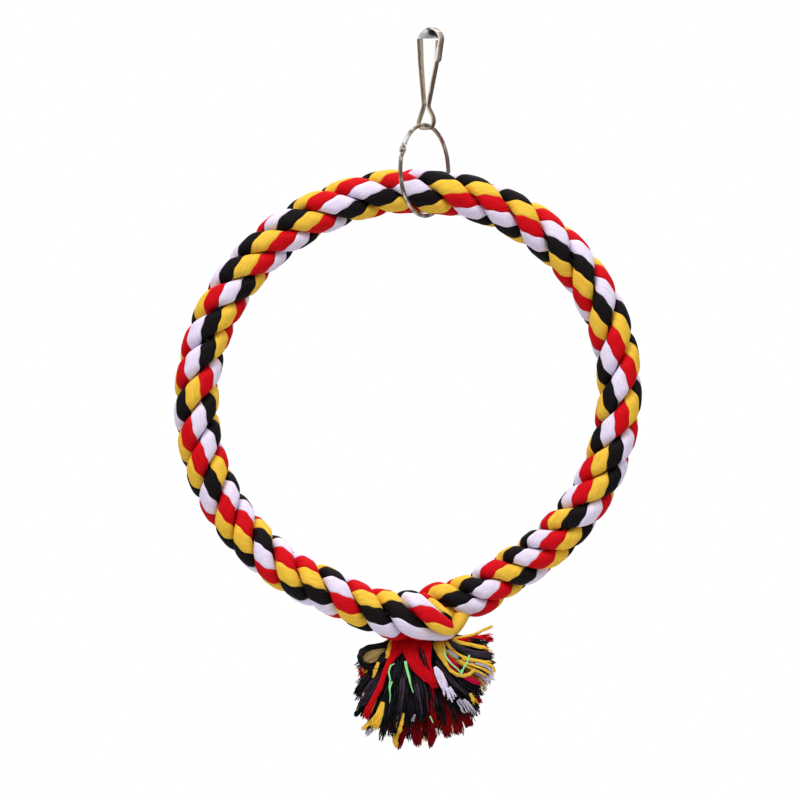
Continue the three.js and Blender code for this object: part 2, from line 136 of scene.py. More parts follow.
# Yarns in a strand: how full the strand is, and which yarn shows at its front
STRAND_RADIUS = 5.3
STRAND_HALF_WIDTH = 7.3
STRAND_FULLNESS = 2.1
STRAND_LINE = ROPE_DIAMETER / 2 - STRAND_RADIUS
PRESS_SHARPNESS = 10.0
PRESS_LEAST_FACING = 0.05
YARN_NAMES = ("black", "yellow", "red", "white")
YARN_RATE = 0.2011
YARN_STARTS = (-1.127, -0.817, 1.920)
YARN_DRIFTS = ((-0.024, -0.133), (-0.25, -0.37), (-0.60, -0.375))
YARN_HOLD_TURNS = (-187.4, -179.0, -190.0)
YARN_END_SHIFTS = (0.38, 0.0, 0.0)
YARN_END_SHIFT_TURNS = (178.0, 183.0)
YARN_GROOVE = 0.08
YARN_GROOVE_POWER = 4
YARN_CORE = 1.0
YARN_APART = 10.0
YARN_ARC_POINTS = 15

# Cotton: streaks along the fibres, how fine they are along, round and between yarns, and their span of tones
STREAK_SCALE = (0.12, 2.2, 1.0)
STREAK_GRAIN = {"Scale": 1.0, "Detail": 4.0, "Roughness": 0.6}
STREAK_SPAN = (0.32, 0.68)
SOOT_SPAN = (0.50, 0.74)
COTTON_RELIEF = {"Strength": 0.35, "Distance": 0.0004}
COTTON_SURFACE = {"Roughness": 0.62, "Specular IOR Level": 0.06}

# Each yarn's darkest and lightest tone
YARN_TONES = {
    "black": ((0.004, 0.003, 0.0035), (0.010, 0.008, 0.009)),
    "yellow": ((0.70, 0.39, 0.030), (0.95, 0.61, 0.070)),
    "red": ((0.46, 0.0015, 0.004), (0.70, 0.004, 0.012)),
    "white": ((0.66, 0.57, 0.75), (0.88, 0.80, 0.97)),
    "soot": ((0.002, 0.002, 0.0025), (0.065, 0.057, 0.076)),
    "plum": ((0.012, 0.008, 0.013), (0.080, 0.055, 0.085)),
    "crimson": ((0.36, 0.001, 0.020), (0.60, 0.004, 0.060)),
    # This dark red is red with painted shade, for red bunches that lie deep in the tassel
    "shaded_red": ((0.06, 0.001, 0.002), (0.30, 0.002, 0.005)),
    "tan": ((0.26, 0.17, 0.05), (0.52, 0.38, 0.16)),
    "lime": ((0.22, 0.66, 0.24), (0.40, 0.88, 0.40)),
    "grey": ((0.16, 0.14, 0.18), (0.72, 0.68, 0.78)),
}

# Tassel: threads of frayed yarn, in the frame of the neck's middle, and the yarns in each slot
TASSEL_YARNS = {
    "black": ("soot", "plum"),
    "red": ("red", "crimson", "shaded_red"),
    "yellow": ("yellow", "tan", "lime"),
    "white": ("white", "grey"),
}
THREAD_RADIUS = 0.36
THREAD_RADIUS_SPAN = (0.8, 1.2)
THREAD_POINTS = 9
THREAD_SIDES = 5
THREAD_TIP_SHARE = 0.55
THREAD_SHORTEST = 0.92
THREAD_POINTED = 0.10
FRAY_SPREAD = 0.5
CLUMP_THREADS = 9
CLUMP_PULL = 0.4
WAVE_SIZE = 0.35
WAVE_COUNT = 2.5
WAVE_COUNT_SPAN = (0.6, 1.2)

# Bunches in front: yarn, threads, fray in mm, then places along it as
# across, back, up, half width and half depth
FRONT_BUNCHES = [
    ("soot", 60, 0.7, [(-15, -4, -3, 2, 1), (-22, -9, -14, 3, 2), (-31, -13, -24, 3.4, 2),
        (-40.6, -15, -36.5, 2, 2)]),
    ("soot", 70, 0.7, [(-14, -4, -3, 2, 1), (-21, -9, -18, 3, 2), (-30, -13, -33, 4, 2),
        (-39.4, -15, -47.6, 2.4, 2)]),
    ("soot", 70, 0.7, [(-14, -5, -3, 2, 1), (-18, -10, -20, 3, 2), (-24, -14, -38, 4, 2),
        (-34, -15, -55, 3, 2)]),
    ("soot", 80, 0.6, [(-13, -5, -3, 2, 1), (-16, -11, -20, 3, 2), (-20, -15, -38, 4, 2),
        (-25.6, -16, -59, 1.4, 2)]),
    ("soot", 80, 0.7, [(-12.5, -5, -3, 2, 1), (-14, -11, -20, 3, 2), (-15, -15, -36, 4, 2),
        (-19, -16, -56, 3, 2)]),
    ("soot", 80, 0.7, [(-11, -5, -3, 2, 1), (-11, -11, -20, 3, 2), (-10, -15, -34, 4, 2),
        (-10, -16, -51, 2.8, 2)]),
    ("soot", 80, 0.7, [(-9, -5, -3, 2, 1), (-7.5, -11, -20, 3, 2), (-5, -15, -33, 4, 2),
        (-3, -16, -49, 2.8, 2)]),
    ("soot", 60, 0.7, [(-7, -5, -3, 2, 1), (-3, -10, -22, 3, 2), (2, -14, -34, 3, 2),
        (6, -15, -46, 2.4, 2)]),
    ("soot", 90, 0.7, [(2, -4, -3, 2, 1), (9, -9, -14.5, 3, 2), (18, -13, -24, 4.4, 2),
        (28, -14, -32, 2.8, 2)]),
    ("soot", 70, 0.7, [(1, -4, -3, 2, 1), (7, -9, -18, 3, 2), (15, -12, -28.5, 4, 2),
        (24, -13, -37, 2.8, 2)]),
    ("soot", 60, 0.7, [(0, -4, -3, 2, 1), (5, -8, -22, 3, 2), (12, -10, -34, 3.4, 2),
        (21, -12, -45, 2.4, 2)]),
    ("plum", 9, 0.8, [(-13, -9, -16, 3, 0.6), (-14, -16.2, -30, 4, 0.6), (-15, -17.4, -46, 4, 0.6)]),
    ("plum", 9, 0.8, [(-7, -10, -18, 2, 0.6), (-4, -16.4, -32, 4, 0.6), (-2, -17.4, -46, 4, 0.6)]),
    ("plum", 8, 0.8, [(-19, -10, -16, 2, 0.6), (-30, -15, -29, 4, 0.6), (-37, -16.6, -41, 3, 0.6)]),
    ("plum", 5, 0.6, [(5, -10, -15, 2, 0.6), (14, -14.4, -26, 3, 0.6), (23, -15.2, -34, 3, 0.6)]),
    ("soot", 40, 0.3, [(-18, -5, -5, 1.6, 1), (-24, -9, -7.6, 1.5, 1.2), (-30, -12, -8, 1.3, 1.2),
        (-35, -14, -10, 1.4, 1.2), (-36.2, -14.8, -14, 1.5, 1.2), (-34, -15, -18, 1.6, 1.2),
        (-29.5, -15, -19.6, 1.6, 1.2), (-25, -14, -19, 1.4, 1.2)]),
    ("soot", 30, 0.3, [(-19, -7, -9, 1, 1), (-23, -12, -12.6, 1.6, 1), (-26, -14, -17, 1.8, 1),
        (-30, -14.6, -24, 2, 1)]),
    ("soot", 90, 0.2, [(-19, -6.4, -7, 1.4, 0.8), (-25, -9.4, -11.4, 4.4, 0.8),
        (-31, -10.6, -13.4, 5.2, 0.8), (-35, -11.2, -13.8, 3.8, 0.8), (-37, -11.4, -14, 1, 0.8)]),
    ("tan", 60, 0.1, [(-22, -8, -9.4, 1, 0.8), (-26, -11, -11.8, 3, 0.8), (-30, -12.2, -13.2, 3.6, 0.8),
        (-33, -12.8, -14, 2.6, 0.8), (-34.8, -13, -14.2, 0.8, 0.8)]),
    ("red", 90, 0.5, [(-13, -4.6, -2, 5, 0.8), (-16.5, -9, -9, 4, 1.2), (-19.8, -12, -14, 1.8, 1),
        (-23.4, -14.6, -22.4, 1.1, 0.8), (-25.4, -15.6, -29, 1.5, 0.9), (-28.8, -16.6, -35.3, 1.5, 0.9),
        (-32.2, -17.2, -41.8, 2.2, 1), (-34, -17.4, -47.4, 2, 1)]),
    ("red", 200, 0.4, [(-6, -4.6, -2, 7, 0.8), (-6, -9, -7.6, 8, 1.2), (-5, -12.6, -12.8, 7.2, 1.2),
        (-3.2, -14.6, -17.9, 6, 1.2), (-0.3, -15.6, -22.4, 4.2, 1), (2.2, -16.2, -25.7, 2.6, 1),
        (4.4, -16.4, -30, 1.4, 0.8)]),
    ("soot", 7, 0.1, [(-4.8, -12, -8, 0.3, 0.3), (-3.4, -14.8, -12.8, 0.9, 0.3),
        (-0.8, -16.4, -19, 0.3, 0.3)]),
    ("soot", 7, 0.1, [(-2.6, -12.4, -10, 0.2, 0.2), (-1.2, -14.8, -14.6, 0.4, 0.3),
        (0.4, -16.5, -20, 0.2, 0.2)]),
    ("shaded_red", 34, 0.4, [(2, -13, -24, 1.4, 0.8), (2.4, -14.8, -33, 1.3, 0.8), (3, -15.6, -43, 1.6, 0.8),
        (4, -15.6, -53.6, 1, 0.6)]),
    ("yellow", 14, 0.3, [(-18.5, -5.4, -4, 1, 0.6), (-20.6, -10.6, -9, 1.2, 0.6),
        (-21.8, -13, -14, 0.9, 0.6)]),
    ("yellow", 12, 0.3, [(-26.2, -14.4, -16, 0.5, 0.5), (-27.8, -15.4, -20, 1, 0.6),
        (-29.4, -16, -24.5, 0.5, 0.5)]),
    ("yellow", 44, 1, [(-24, -15.6, -37, 0.8, 0.6), (-25.2, -16.6, -42, 1.8, 0.8),
        (-27.4, -17.4, -47, 2.6, 0.8), (-29, -17.6, -51.6, 3.2, 0.8)]),
    ("yellow", 14, 0.8, [(-30.4, -16, -47.4, 0.8, 0.6), (-34.6, -16.4, -51.4, 1.4, 0.8)]),
    ("grey", 16, 0.9, [(-29.6, -15.4, -51, 1, 0.8), (-32.6, -16, -54.2, 1.6, 0.8)]),
    ("white", 46, 0.3, [(3.6, -16.8, -18.4, 0.5, 0.6), (5.4, -17.2, -21.5, 1.8, 0.7),
        (7.6, -17.5, -26, 2.4, 0.8), (10.2, -17.7, -31, 2.2, 0.8)]),
    ("white", 5, 0.2, [(8.2, -17.6, -28, 0.5, 0.4), (8.8, -17.8, -34.4, 0.3, 0.3)]),
    ("white", 5, 0.2, [(9.4, -17.6, -29, 0.5, 0.4), (10.6, -17.9, -33, 0.3, 0.3),
        (10.8, -17.8, -35.6, 0.3, 0.3)]),
    ("white", 5, 0.2, [(10, -17.6, -29.6, 0.5, 0.4), (11.6, -17.9, -33.6, 0.3, 0.3),
        (12.9, -17.8, -37, 0.3, 0.3)]),
    ("white", 5, 0.2, [(10.8, -17.6, -29.4, 0.5, 0.4), (13, -17.9, -33, 0.3, 0.3),
        (13.8, -17.8, -35.6, 0.3, 0.3)]),
    ("white", 5, 0.2, [(11.4, -17.6, -29, 0.5, 0.4), (15, -17.8, -34.2, 0.3, 0.3)]),
    ("crimson", 34, 0.2, [(9.8, -12.6, -13, 0.6, 0.6), (13, -15.2, -16.6, 2.2, 0.8),
        (16.8, -16.4, -20.4, 1, 0.6)]),
    ("crimson", 30, 0.3, [(17, -14.6, -21.6, 1.2, 0.8), (22.5, -15.8, -25, 1.5, 0.8),
        (28.4, -16.4, -28, 1.2, 0.8)]),
    ("yellow", 44, 0.3, [(4.5, -4.6, -3, 3, 0.8), (6.6, -9.6, -9.5, 3, 1), (9, -13.6, -15.6, 1.2, 0.7),
        (12.4, -16, -20.6, 0.8, 0.5), (17.4, -16.8, -23, 0.7, 0.5), (21.8, -16.8, -22.2, 0.6, 0.5),
        (25, -16.4, -19.6, 0.5, 0.4)]),
    ("yellow", 16, 0.3, [(11, -7, -4, 0.9, 0.7), (20, -9, -6.6, 0.7, 0.6), (28, -11, -8, 0.9, 0.6),
        (32.6, -12, -9.6, 0.7, 0.6)]),
    ("plum", 60, 0.5, [(11, -7, -4.6, 1, 0.8), (20, -10, -10.4, 1.8, 1), (34.2, -13, -13, 2.4, 1.2)]),
    ("yellow", 12, 0.3, [(9, -7, -4.4, 0.9, 0.7), (13, -10, -10, 0.6, 0.5), (20, -14, -13.8, 0.6, 0.5),
        (28, -15.4, -15.6, 0.6, 0.5), (35.6, -16, -16, 0.6, 0.5)]),
    ("yellow", 14, 0.3, [(6, -5, -6, 0.9, 0.7), (14, -12, -14.2, 0.6, 0.5), (25, -15.4, -17.8, 0.7, 0.5),
        (31, -16, -20.4, 0.6, 0.5), (35, -16.2, -23.6, 0.7, 0.5)]),
    ("yellow", 10, 0.2, [(18, -13.6, -14.2, 0.5, 0.4), (27, -15.6, -15.4, 0.5, 0.4),
        (34, -16.2, -18, 0.5, 0.4), (35.6, -16.2, -22, 0.5, 0.4)]),
    ("yellow", 10, 0.3, [(6, -5.4, -7, 0.8, 0.6), (15, -12.6, -15.4, 0.5, 0.4), (25, -15.6, -20, 0.6, 0.5),
        (33, -16.2, -24.2, 0.6, 0.5)]),
    ("soot", 24, 0.3, [(12, -9, -9.6, 0.8, 0.6), (22, -13.4, -13, 1, 0.6), (34, -15, -17.4, 1.4, 0.8)]),
    ("soot", 24, 0.3, [(14, -11, -13.6, 0.8, 0.6), (24, -14.6, -18.2, 1, 0.6), (33, -15.2, -22, 1.2, 0.8)]),
    ("grey", 9, 0.2, [(10.6, -11.6, -9.8, 0.3, 0.3), (13.4, -13.6, -12, 0.8, 0.4),
        (16, -14.6, -14, 0.3, 0.3)]),
    ("grey", 10, 0.3, [(25, -15.6, -16.6, 0.3, 0.3), (31, -16, -18.4, 0.8, 0.4),
        (34.4, -16.4, -21.4, 0.6, 0.4)]),
    ("yellow", 12, 0.2, [(12.4, -7, -4, 0.6, 0.6), (23, -6, -2.2, 0.8, 0.6), (35.6, -5, 3.2, 0.8, 0.6)]),
    ("red", 46, 0.8, [(12.4, -7, -4.4, 0.6, 0.8), (22, -6, -4.2, 1.7, 1.2), (36, -6, -3.4, 2.9, 1.4)]),
    ("grey", 5, 0.2, [(26, -7, -5.4, 0.4, 0.3), (30.5, -7.8, -5, 0.4, 0.3)]),
    ("shaded_red", 40, 0.4, [(-3, -3, -3, 2, 1), (-9, -8, -30, 2, 1.4), (-13, -10, -52, 2.4, 1.5),
        (-15.8, -10, -63, 0.6, 0.6)]),
    ("shaded_red", 76, 0.4, [(-3, -3, -3, 2, 1), (-5, -8, -30, 3, 1.4), (-6, -10, -52, 3.2, 1.5),
        (-5.2, -10, -61.6, 2, 1)]),
    ("shaded_red", 76, 0.4, [(-1, -3, -3, 2, 1), (0, -8, -30, 3, 1.4), (2.6, -10, -51, 3.6, 1.5),
        (0.8, -10, -62.6, 0.6, 0.6)]),
    ("shaded_red", 76, 0.5, [(0, -3, -3, 2, 1), (5, -8, -30, 3, 1.4), (9, -10.6, -47, 3.2, 1.5),
        (10.6, -10.6, -57, 3, 1)]),
    ("shaded_red", 76, 0.5, [(1, -3, -3, 2, 1), (9, -8, -28, 3, 1.4), (14.6, -10.6, -45, 3, 1.5),
        (17, -10.6, -55.6, 2.8, 1)]),
    ("shaded_red", 76, 0.5, [(1, -3, -3, 2, 1), (12, -8, -27, 3, 1.4), (18.6, -10.6, -42, 2.8, 1.5),
        (22.6, -10.6, -51, 2.6, 1)]),
    ("soot", 26, 0.4, [(2, -9, -24, 1, 0.8), (6.6, -12.4, -38, 1.4, 0.8), (9, -12.6, -50, 0.8, 0.6)]),
    ("soot", 22, 0.4, [(4, -9, -24, 1, 0.8), (11.4, -12.4, -38, 1.2, 0.8), (15.4, -12.6, -49, 0.8, 0.6)]),
    ("yellow", 20, 0.8, [(-12.8, -15.8, -43, 0.6, 0.6), (-14, -16.4, -48, 1.2, 0.6),
        (-15.4, -16.4, -54.6, 0.9, 0.6)]),
    ("tan", 12, 0.3, [(-15.4, -15.8, -43.6, 0.5, 0.5), (-17, -16.4, -51, 0.8, 0.5)]),
    ("yellow", 24, 0.8, [(-15.8, -12, -51, 1.2, 0.8), (-17.4, -12.6, -57, 1.5, 0.8),
        (-16.6, -12.4, -61.6, 0.8, 0.6)]),
    ("grey", 7, 1.6, [(16, -14, -36, 1.2, 0.6), (18.4, -15, -39, 2.2, 0.8), (20, -15.4, -43, 3, 0.8)]),
    ("grey", 8, 1.6, [(18.6, -14.4, -36, 1.2, 0.6), (21.6, -15.4, -39, 2.2, 0.8),
        (25, -15.6, -43, 3.2, 0.8)]),
    ("grey", 9, 0.4, [(-7.2, -17, -43.5, 0.5, 0.4), (-8.2, -17.4, -47.4, 1, 0.5)]),
    ("grey", 8, 0.4, [(4.4, -15.8, -51, 0.5, 0.4), (5.4, -16, -54, 0.8, 0.5)]),
    ("yellow", 12, 1, [(22.4, -14, -32.4, 0.7, 0.6), (25, -14.4, -37.6, 1.1, 0.7)]),
    ("tan", 10, 1, [(27.6, -13, -24, 0.7, 0.6), (30.4, -13.6, -31.6, 0.9, 0.7)]),
]

# Single bright threads in front: half thickness, then places along each
LOOSE_THREADS = [
    (0.5, [(-19.6, -16.8, -17.4), (-20.8, -17.4, -21), (-20, -17.8, -25), (-20.6, -18, -29),
        (-19.8, -18.2, -34)]),
    (0.35, [(-17.8, -16.6, -16.6), (-20, -17.2, -18.2), (-20.8, -17.6, -22), (-20.4, -17.8, -24)]),
    (0.4, [(-19, -17.6, -26), (-20.2, -17.8, -30), (-20, -18, -34), (-20.4, -18, -37.4)]),
    (0.85, [(-12, -16.2, -15.4), (-11.4, -16.8, -19), (-10, -17.4, -24), (-9.2, -17.8, -28)]),
    (0.45, [(-10.4, -16.9, -22), (-9.4, -17.6, -27), (-7.8, -18, -32)]),
    (0.4, [(1, -17.2, -44.4), (1.8, -17.4, -46), (2.6, -17.5, -48)]),
    (0.5, [(21.9, -17.4, -12), (20.8, -17.6, -15.6), (19, -17.6, -18.6), (17.7, -17.6, -22.4)]),
    (0.5, [(8, -12.4, -9), (9.4, -14.8, -13), (12.6, -16.8, -17), (16, -17.5, -19.8), (17.7, -17.6, -22.6)]),
    (0.6, [(18, -17.5, -19.6), (17.7, -17.6, -21), (17.6, -17.6, -23)]),
]

# Which of the tassel's solids the first yarn of each slot takes the place of
BUNDLE_PLACES = {
    "black": ("front_1", "front_3", "front_5", "middle_1", "middle_2", "middle_3", "back_1", "back_5"),
    "red": ("front_2", "front_4", "middle_4", "back_3", "back_4", "back_6"),
    "yellow": ("front_6", "middle_6", "back_2"),
    "white": ("middle_5",),
}

# The rest of the tassel: rows from the front to the back, how far each bunch strays
# and how yarns are shared out
FILL_ROWS = (-9.0, -4.0, 1.0, 6.0, 10.5, 15.0)
FILL_ACROSS = 15
FILL_THREADS = 32
FILL_FRAY = 1.0
FILL_ROOT_LEFT = -15.0
FILL_ROOT_RIGHT = 8.0
FILL_ROOT_UP = -1.8
FILL_ROOT_DEPTH = 0.25
FILL_ROOT_SPREAD = 0.3
FILL_REACH = (0.86, 1.0)
FILL_STRAY_COLUMNS = 0.5
FILL_STRAY_DEPTH = 2.0
FILL_STRAY_ROOT = 2.0
FILL_HALF_WIDTH = (3.2, 5.4)
FILL_HALF_DEPTH = 3.0
FILL_PLACES = (0.0, 0.4, 0.75, 1.0)
# Some bunches behind take the dark red, which is red with painted shade
FILL_YARNS = {"soot": 0.46, "shaded_red": 0.12, "red": 0.16, "yellow": 0.14, "white": 0.06, "plum": 0.06}
FAN_TIPS = [(-38, -17.4), (-35.5, -47.2), (-16, -59.5), (2.1, -61), (24, -52.5), (34.5, -30.1), (35.5, -8)]

# Neck and tie: places and sizes of the solids, and the yarns that make them up
NECK_RADIUS = 3.3
NECK_LEFT = -15.0
NECK_RIGHT = 5.0
NECK_YARNS = 6
NECK_YARN_RADIUS = 1.05
NECK_YARN_SIDES = 14
NECK_POINTS = 40
NECK_TWIST = 2.2
NECK_COLORS = ("red", "black", "red", "yellow")
TIE_PLACE = -3.0
TIE_WIDTH = 4.0
TIE_TURNS = 4
TIE_TURN_POINTS = 30
TIE_THREAD_RADIUS = 0.42
TIE_THREAD_SIDES = 10

# The yarn drawn down from the back rope to the neck: across, back, up and radius
END_YARN = [
    (19.5, 8.0, 10.0, 3.6), (17.0, 5.0, 6.0, 4.0), (15.0, 1.5, 1.6, 3.0),
    (12.0, -1.4, -2.2, 1.9), (6.0, -1.4, -2.6, 1.2),
]
END_YARN_POINTS = 24
END_YARN_SIDES = 20

# Core wire inside the rope, and a direction that none of the coils runs along
CORE_RADIUS = 1.5
CORE_SHORT = 6.0
CORE_STEP_TURN = 2.0
CORE_SIDES = 12
CORE_STREAK_SCALE = (0.05, 4.0, 1.0)
CORE_STREAK_GRAIN = {"Scale": 1.0}
CORE_STREAK_SPAN = (0.0, 1.0)
CORE_TONES = ((0.30, 0.30, 0.30), (0.55, 0.55, 0.55))
CORE_SURFACE = {"Metallic": 1.0, "Roughness": 0.4}
COIL_ASIDE = (0.31, 0.53, 0.79)

# Snap hook's strip, in the hook's own plane: widths and shine at places along it, and lines as across and up
HOOK_TURN = -35.0
HOOK_SEAT_DEPTH = 2.4
STRIP_THICKNESS = 1.3
STRIP_BEND = 1.6
STRIP_BEND_POINTS = 9
STRIP_STEP = 0.5
STRIP_CORNER = 5.0
STRIP_SIDES = 20
STRIP_SHARP = 50.0
STRIP_PLACES = (0.0, 0.55, 1.0)
SPINE_WIDTHS = (4.6, 3.0, 3.0)
GATE_WIDTHS = (3.0, 3.2, 3.2)
SPINE_LINE = [
    (-6.5, 0.5), (-5.9, -12.0), (-3.9, -33.4), (-3.9, -35.4), (-7.6, -44.4), (-5.8, -47.2),
    (0.7, -47.2), (2.6, -44.0), (1.9, -40.6), (0.35, -38.05),
]
GATE_LINE = [(0.35, -38.05), (-1.2, -35.5), (4.4, -12.0), (5.0, -0.5)]

# The hook's pressed hood: a plate over the crown, domed on the left and sunk on the right, in a gutter
HOOD_LEFT = 7.4
HOOD_RIGHT = 7.7
HOOD_TOP = 6.6
HOOD_HALF_DEPTH = 2.15
HOOD_SHEET = 0.45
HOOD_TAIL = 12.0
HOOD_TAIL_LEAN = 2.0
HOOD_TAIL_CORNER = (1.2, 0.7)
HOOD_FRONT_LIP = 0.9
HOOD_BACK_LIP = 1.0
HOOD_FRONT_TAIL = 1.4
HOOD_BACK_TAIL = 2.4
HOOD_ARC_STEPS = 36
HOOD_PLATE_STEPS = 10
HOOD_PLATE_INSET = 0.6
HOOD_PLATE_LOW = 0.7
HOOD_PLATE_SUNK = 3.4
HOOD_PLATE_SLANT = (-9.0, 4.0)
HOOD_DOME = 3.0
HOOD_DOME_FALL = 1.7
HOOD_BOWL = 4.0
HOOD_BOWL_RISE = 2.0
HOOD_DOME_SIDES = (-3.0, 2.0)

# Nickel plate: its darkest and lightest tone for each finish, its wear, softened edges, and
# how much brighter or duller some sides of a piece are painted, as painted highlights and shade
NICKEL_TONES = {
    "bright": ((0.46, 0.42, 0.37), (0.64, 0.61, 0.57)),
    "worn": ((0.26, 0.20, 0.16), (0.90, 0.88, 0.85)),
    "tarnished": ((0.25, 0.17, 0.12), (0.66, 0.55, 0.43)),
    "brown": ((0.26, 0.18, 0.13), (0.70, 0.62, 0.56)),
    # The crown's darkest tone is nearly black, for the painted shade and painted dark reflection on its plate
    "crown": ((0.05, 0.045, 0.05), (0.72, 0.72, 0.73)),
}
WEAR_GRAIN = {"Scale": 160.0, "Detail": 3.0}
WEAR_SPAN = (0.35, 0.65)
NICKEL_SURFACE = {"Metallic": 1.0}
NICKEL_ROUGHNESS = {"To Min": 0.14, "To Max": 0.28}
EDGE_WIDTH = 0.14
EDGE_SEGMENTS = 3
EDGE_SHARP = 30.0
# Painted highlights on the strips, lightest on their inner sides
STRIP_SHINE = 0.30
STRIP_SHINE_FROM = 0.5
SPINE_SHINE_SIDES = (1.0, 0.5, -1.0)
GATE_SHINE_SIDES = (-1.0, -1.0, -1.0)
# Painted highlight on the hood's front lip, and painted shade in its gutter and back lip
HOOD_SHINE = 0.4
CROWN_SHINE = 0.6
CROWN_SHINE_MIDDLE = 0.5
# The crown plate has painted shade near the rim on the right, and a painted dark reflection that grows
# towards the right
CROWN_PAINTED_SHADE_GAP = (2.4, 4.2)
CROWN_PAINTED_REFLECTION = 0.6
CROWN_PAINTED_REFLECTION_SIDES = (-5.0, 3.0)
LINK_SHINE = -0.13
# A painted highlight on the upper half's wire beside the rivet
LINK_HINGE_SHINE = 0.50
LINK_HINGE_SHINE_GAP = (5.0, 13.0)

# Link ring: round wire in two halves, with flat tabs at the rivet and a lap at the catch
LINK_PLACE = (-4.326, 0.099, -69.4)
LINK_TURN = 58.0
LINK_RADIUS = 24.2
LINK_WIRE = 2.2
LINK_HINGE_TURN = 155.0
LINK_TAB_RADIUS = 2.1
LINK_TAB_BLEND = (2.4, 4.4)
LINK_TAB_SQUARED = 0.55
LINK_SHOULDER = 1.65
LINK_SHOULDER_BLEND = (1.5, 11.0)
LINK_LAP = 2.0
LINK_LAP_BLEND = (2.0, 3.2)
LINK_FACE_GAP = 0.15
LINK_SIDES = 20
LINK_STEP = 0.25
RIVET_RADIUS = 0.55
RIVET_HEAD_RADIUS = 1.3
RIVET_HEAD_HEIGHT = 0.55
RIVET_UNDER = 1.2
RIVET_DOME_POINTS = 8
RIVET_SIDES = 28
TIP_SIZE = 0.02


def rise(value, pair):
    """Goes smoothly from 0 to 1 while the value goes from the first to the second of a pair."""
    share = np.clip((value - pair[0]) / (pair[1] - pair[0]), 0.0, 1.0)
    return share * share * (3.0 - 2.0 * share)


def unit(vectors):
    return vectors / np.linalg.norm(vectors, axis=-1, keepdims=True)


def run_length(points):
    """How far along a line each of its points lies."""
    step = np.linalg.norm(np.diff(points, axis=-2), axis=-1)
    return np.concatenate([np.zeros_like(step[..., :1]), np.cumsum(step, axis=-1)], axis=-1)


def ring_angles(sides):
    return 2 * math.pi * np.arange(sides) / sides


def add_object(name, data):
    added = bpy.data.objects.new(name, data)
    scene.collection.objects.link(added)
    return added


def make_mesh(name, points, faces, fibre=None):
    """A mesh from points in millimetres, with the coordinates along and round its fibres."""
    mesh = bpy.data.meshes.new(name)
    mesh.from_pydata((np.asarray(points) * MM).tolist(), [], faces)
    mesh.shade_smooth()
    if fibre is not None:
        attribute = mesh.attributes.new("fibre", "FLOAT_VECTOR", "POINT")
        attribute.data.foreach_set("vector", np.asarray(fibre, np.float32).ravel())
    return add_object(name, mesh)


def tube_faces(rings, sides, first=0):
    """Faces of a closed tube of rings of points, with flat ends."""
    faces = []
    last = first + (rings - 1) * sides
    for low in range(first, last, sides):
        for side in range(sides):
            after = (side + 1) % sides
            faces.append((low + side, low + after, low + sides + after, low + sides + side))
    return faces + [tuple(reversed(range(first, first + sides))), tuple(range(last, last + sides))]


def fibre_places(along, around, apart):
    """Where each point lies along its fibre and round it, and how far apart fibres are kept."""
    return np.stack(np.broadcast_arrays(along, around, apart), axis=-1).reshape(-1, 3)


def spline(places, steps):
    """Points on a smooth curve through places, at steps that count from the first place."""
    places = np.asarray(places, float)
    first = 2 * places[..., :1, :] - places[..., 1:2, :]
    last = 2 * places[..., -1:, :] - places[..., -2:-1, :]
    run = np.concatenate([first, places, last], axis=-2)
    index = np.clip(np.floor(steps).astype(int), 0, places.shape[-2] - 2)
    share = (steps - index)[..., None]
    before, start, end, after = (
        np.take_along_axis(run, (index + shift)[..., None], axis=-2) for shift in range(4)
    )
    straight = 2 * start + (end - before) * share
    square = (2 * before - 5 * start + 4 * end - after) * share ** 2
    cube = (3 * start - before - 3 * end + after) * share ** 3
    return (straight + square + cube) / 2


def set_values(node, values):
    for socket, value in values.items():
        node.inputs[socket].default_value = value


def add_node(tree, kind, values=None):
    node = tree.nodes.new(f"ShaderNode{kind}")
    set_values(node, values or {})
    return node


def join(output, entry):
    output.id_data.links.new(output, entry)


def attribute_node(tree, name):
    node = add_node(tree, "Attribute")
    node.attribute_name = name
    return node


def new_material(name, surface):
    """A material, its nodes and its shader, whose even values are set."""
    material = bpy.data.materials.new(name)
    material.use_nodes = True
    shader = material.node_tree.nodes["Principled BSDF"]
    set_values(shader, surface)
    return material, material.node_tree, shader


def fibre_streaks(tree, scale, grain):
    """Noise that is drawn out along a piece's fibres."""
    stretch = add_node(tree, "Mapping", {"Scale": scale})
    join(attribute_node(tree, "fibre").outputs["Vector"], stretch.inputs["Vector"])
    noise = add_node(tree, "TexNoise", grain)
    join(stretch.outputs["Vector"], noise.inputs["Vector"])
    return noise.outputs["Fac"]


def paint(tree, shader, value, span, tones):
    """Colours the shader between two tones while a value goes over a span."""
    ramp = add_node(tree, "ValToRGB")
    for element, position, tone in zip(ramp.color_ramp.elements, span, tones):
        element.position = position
        element.color = (*tone, 1.0)
    join(value, ramp.inputs["Fac"])
    join(ramp.outputs["Color"], shader.inputs["Base Color"])


@functools.cache
def cotton(name):
    """Soft matt cotton yarn: fine streaks along the fibres, in colour and in relief."""
    material, tree, shader = new_material(f"cotton_{name}", COTTON_SURFACE)
    streaks = fibre_streaks(tree, STREAK_SCALE, STREAK_GRAIN)
    paint(tree, shader, streaks, SOOT_SPAN if name == "soot" else STREAK_SPAN, YARN_TONES[name])
    relief = add_node(tree, "Bump", COTTON_RELIEF)
    join(streaks, relief.inputs["Height"])
    join(relief.outputs["Normal"], shader.inputs["Normal"])
    return material


def drawn_steel():
    """Plain drawn wire: fine lines along it."""
    material, tree, shader = new_material("drawn_steel", CORE_SURFACE)
    lines = fibre_streaks(tree, CORE_STREAK_SCALE, CORE_STREAK_GRAIN)
    paint(tree, shader, lines, CORE_STREAK_SPAN, CORE_TONES)
    return material


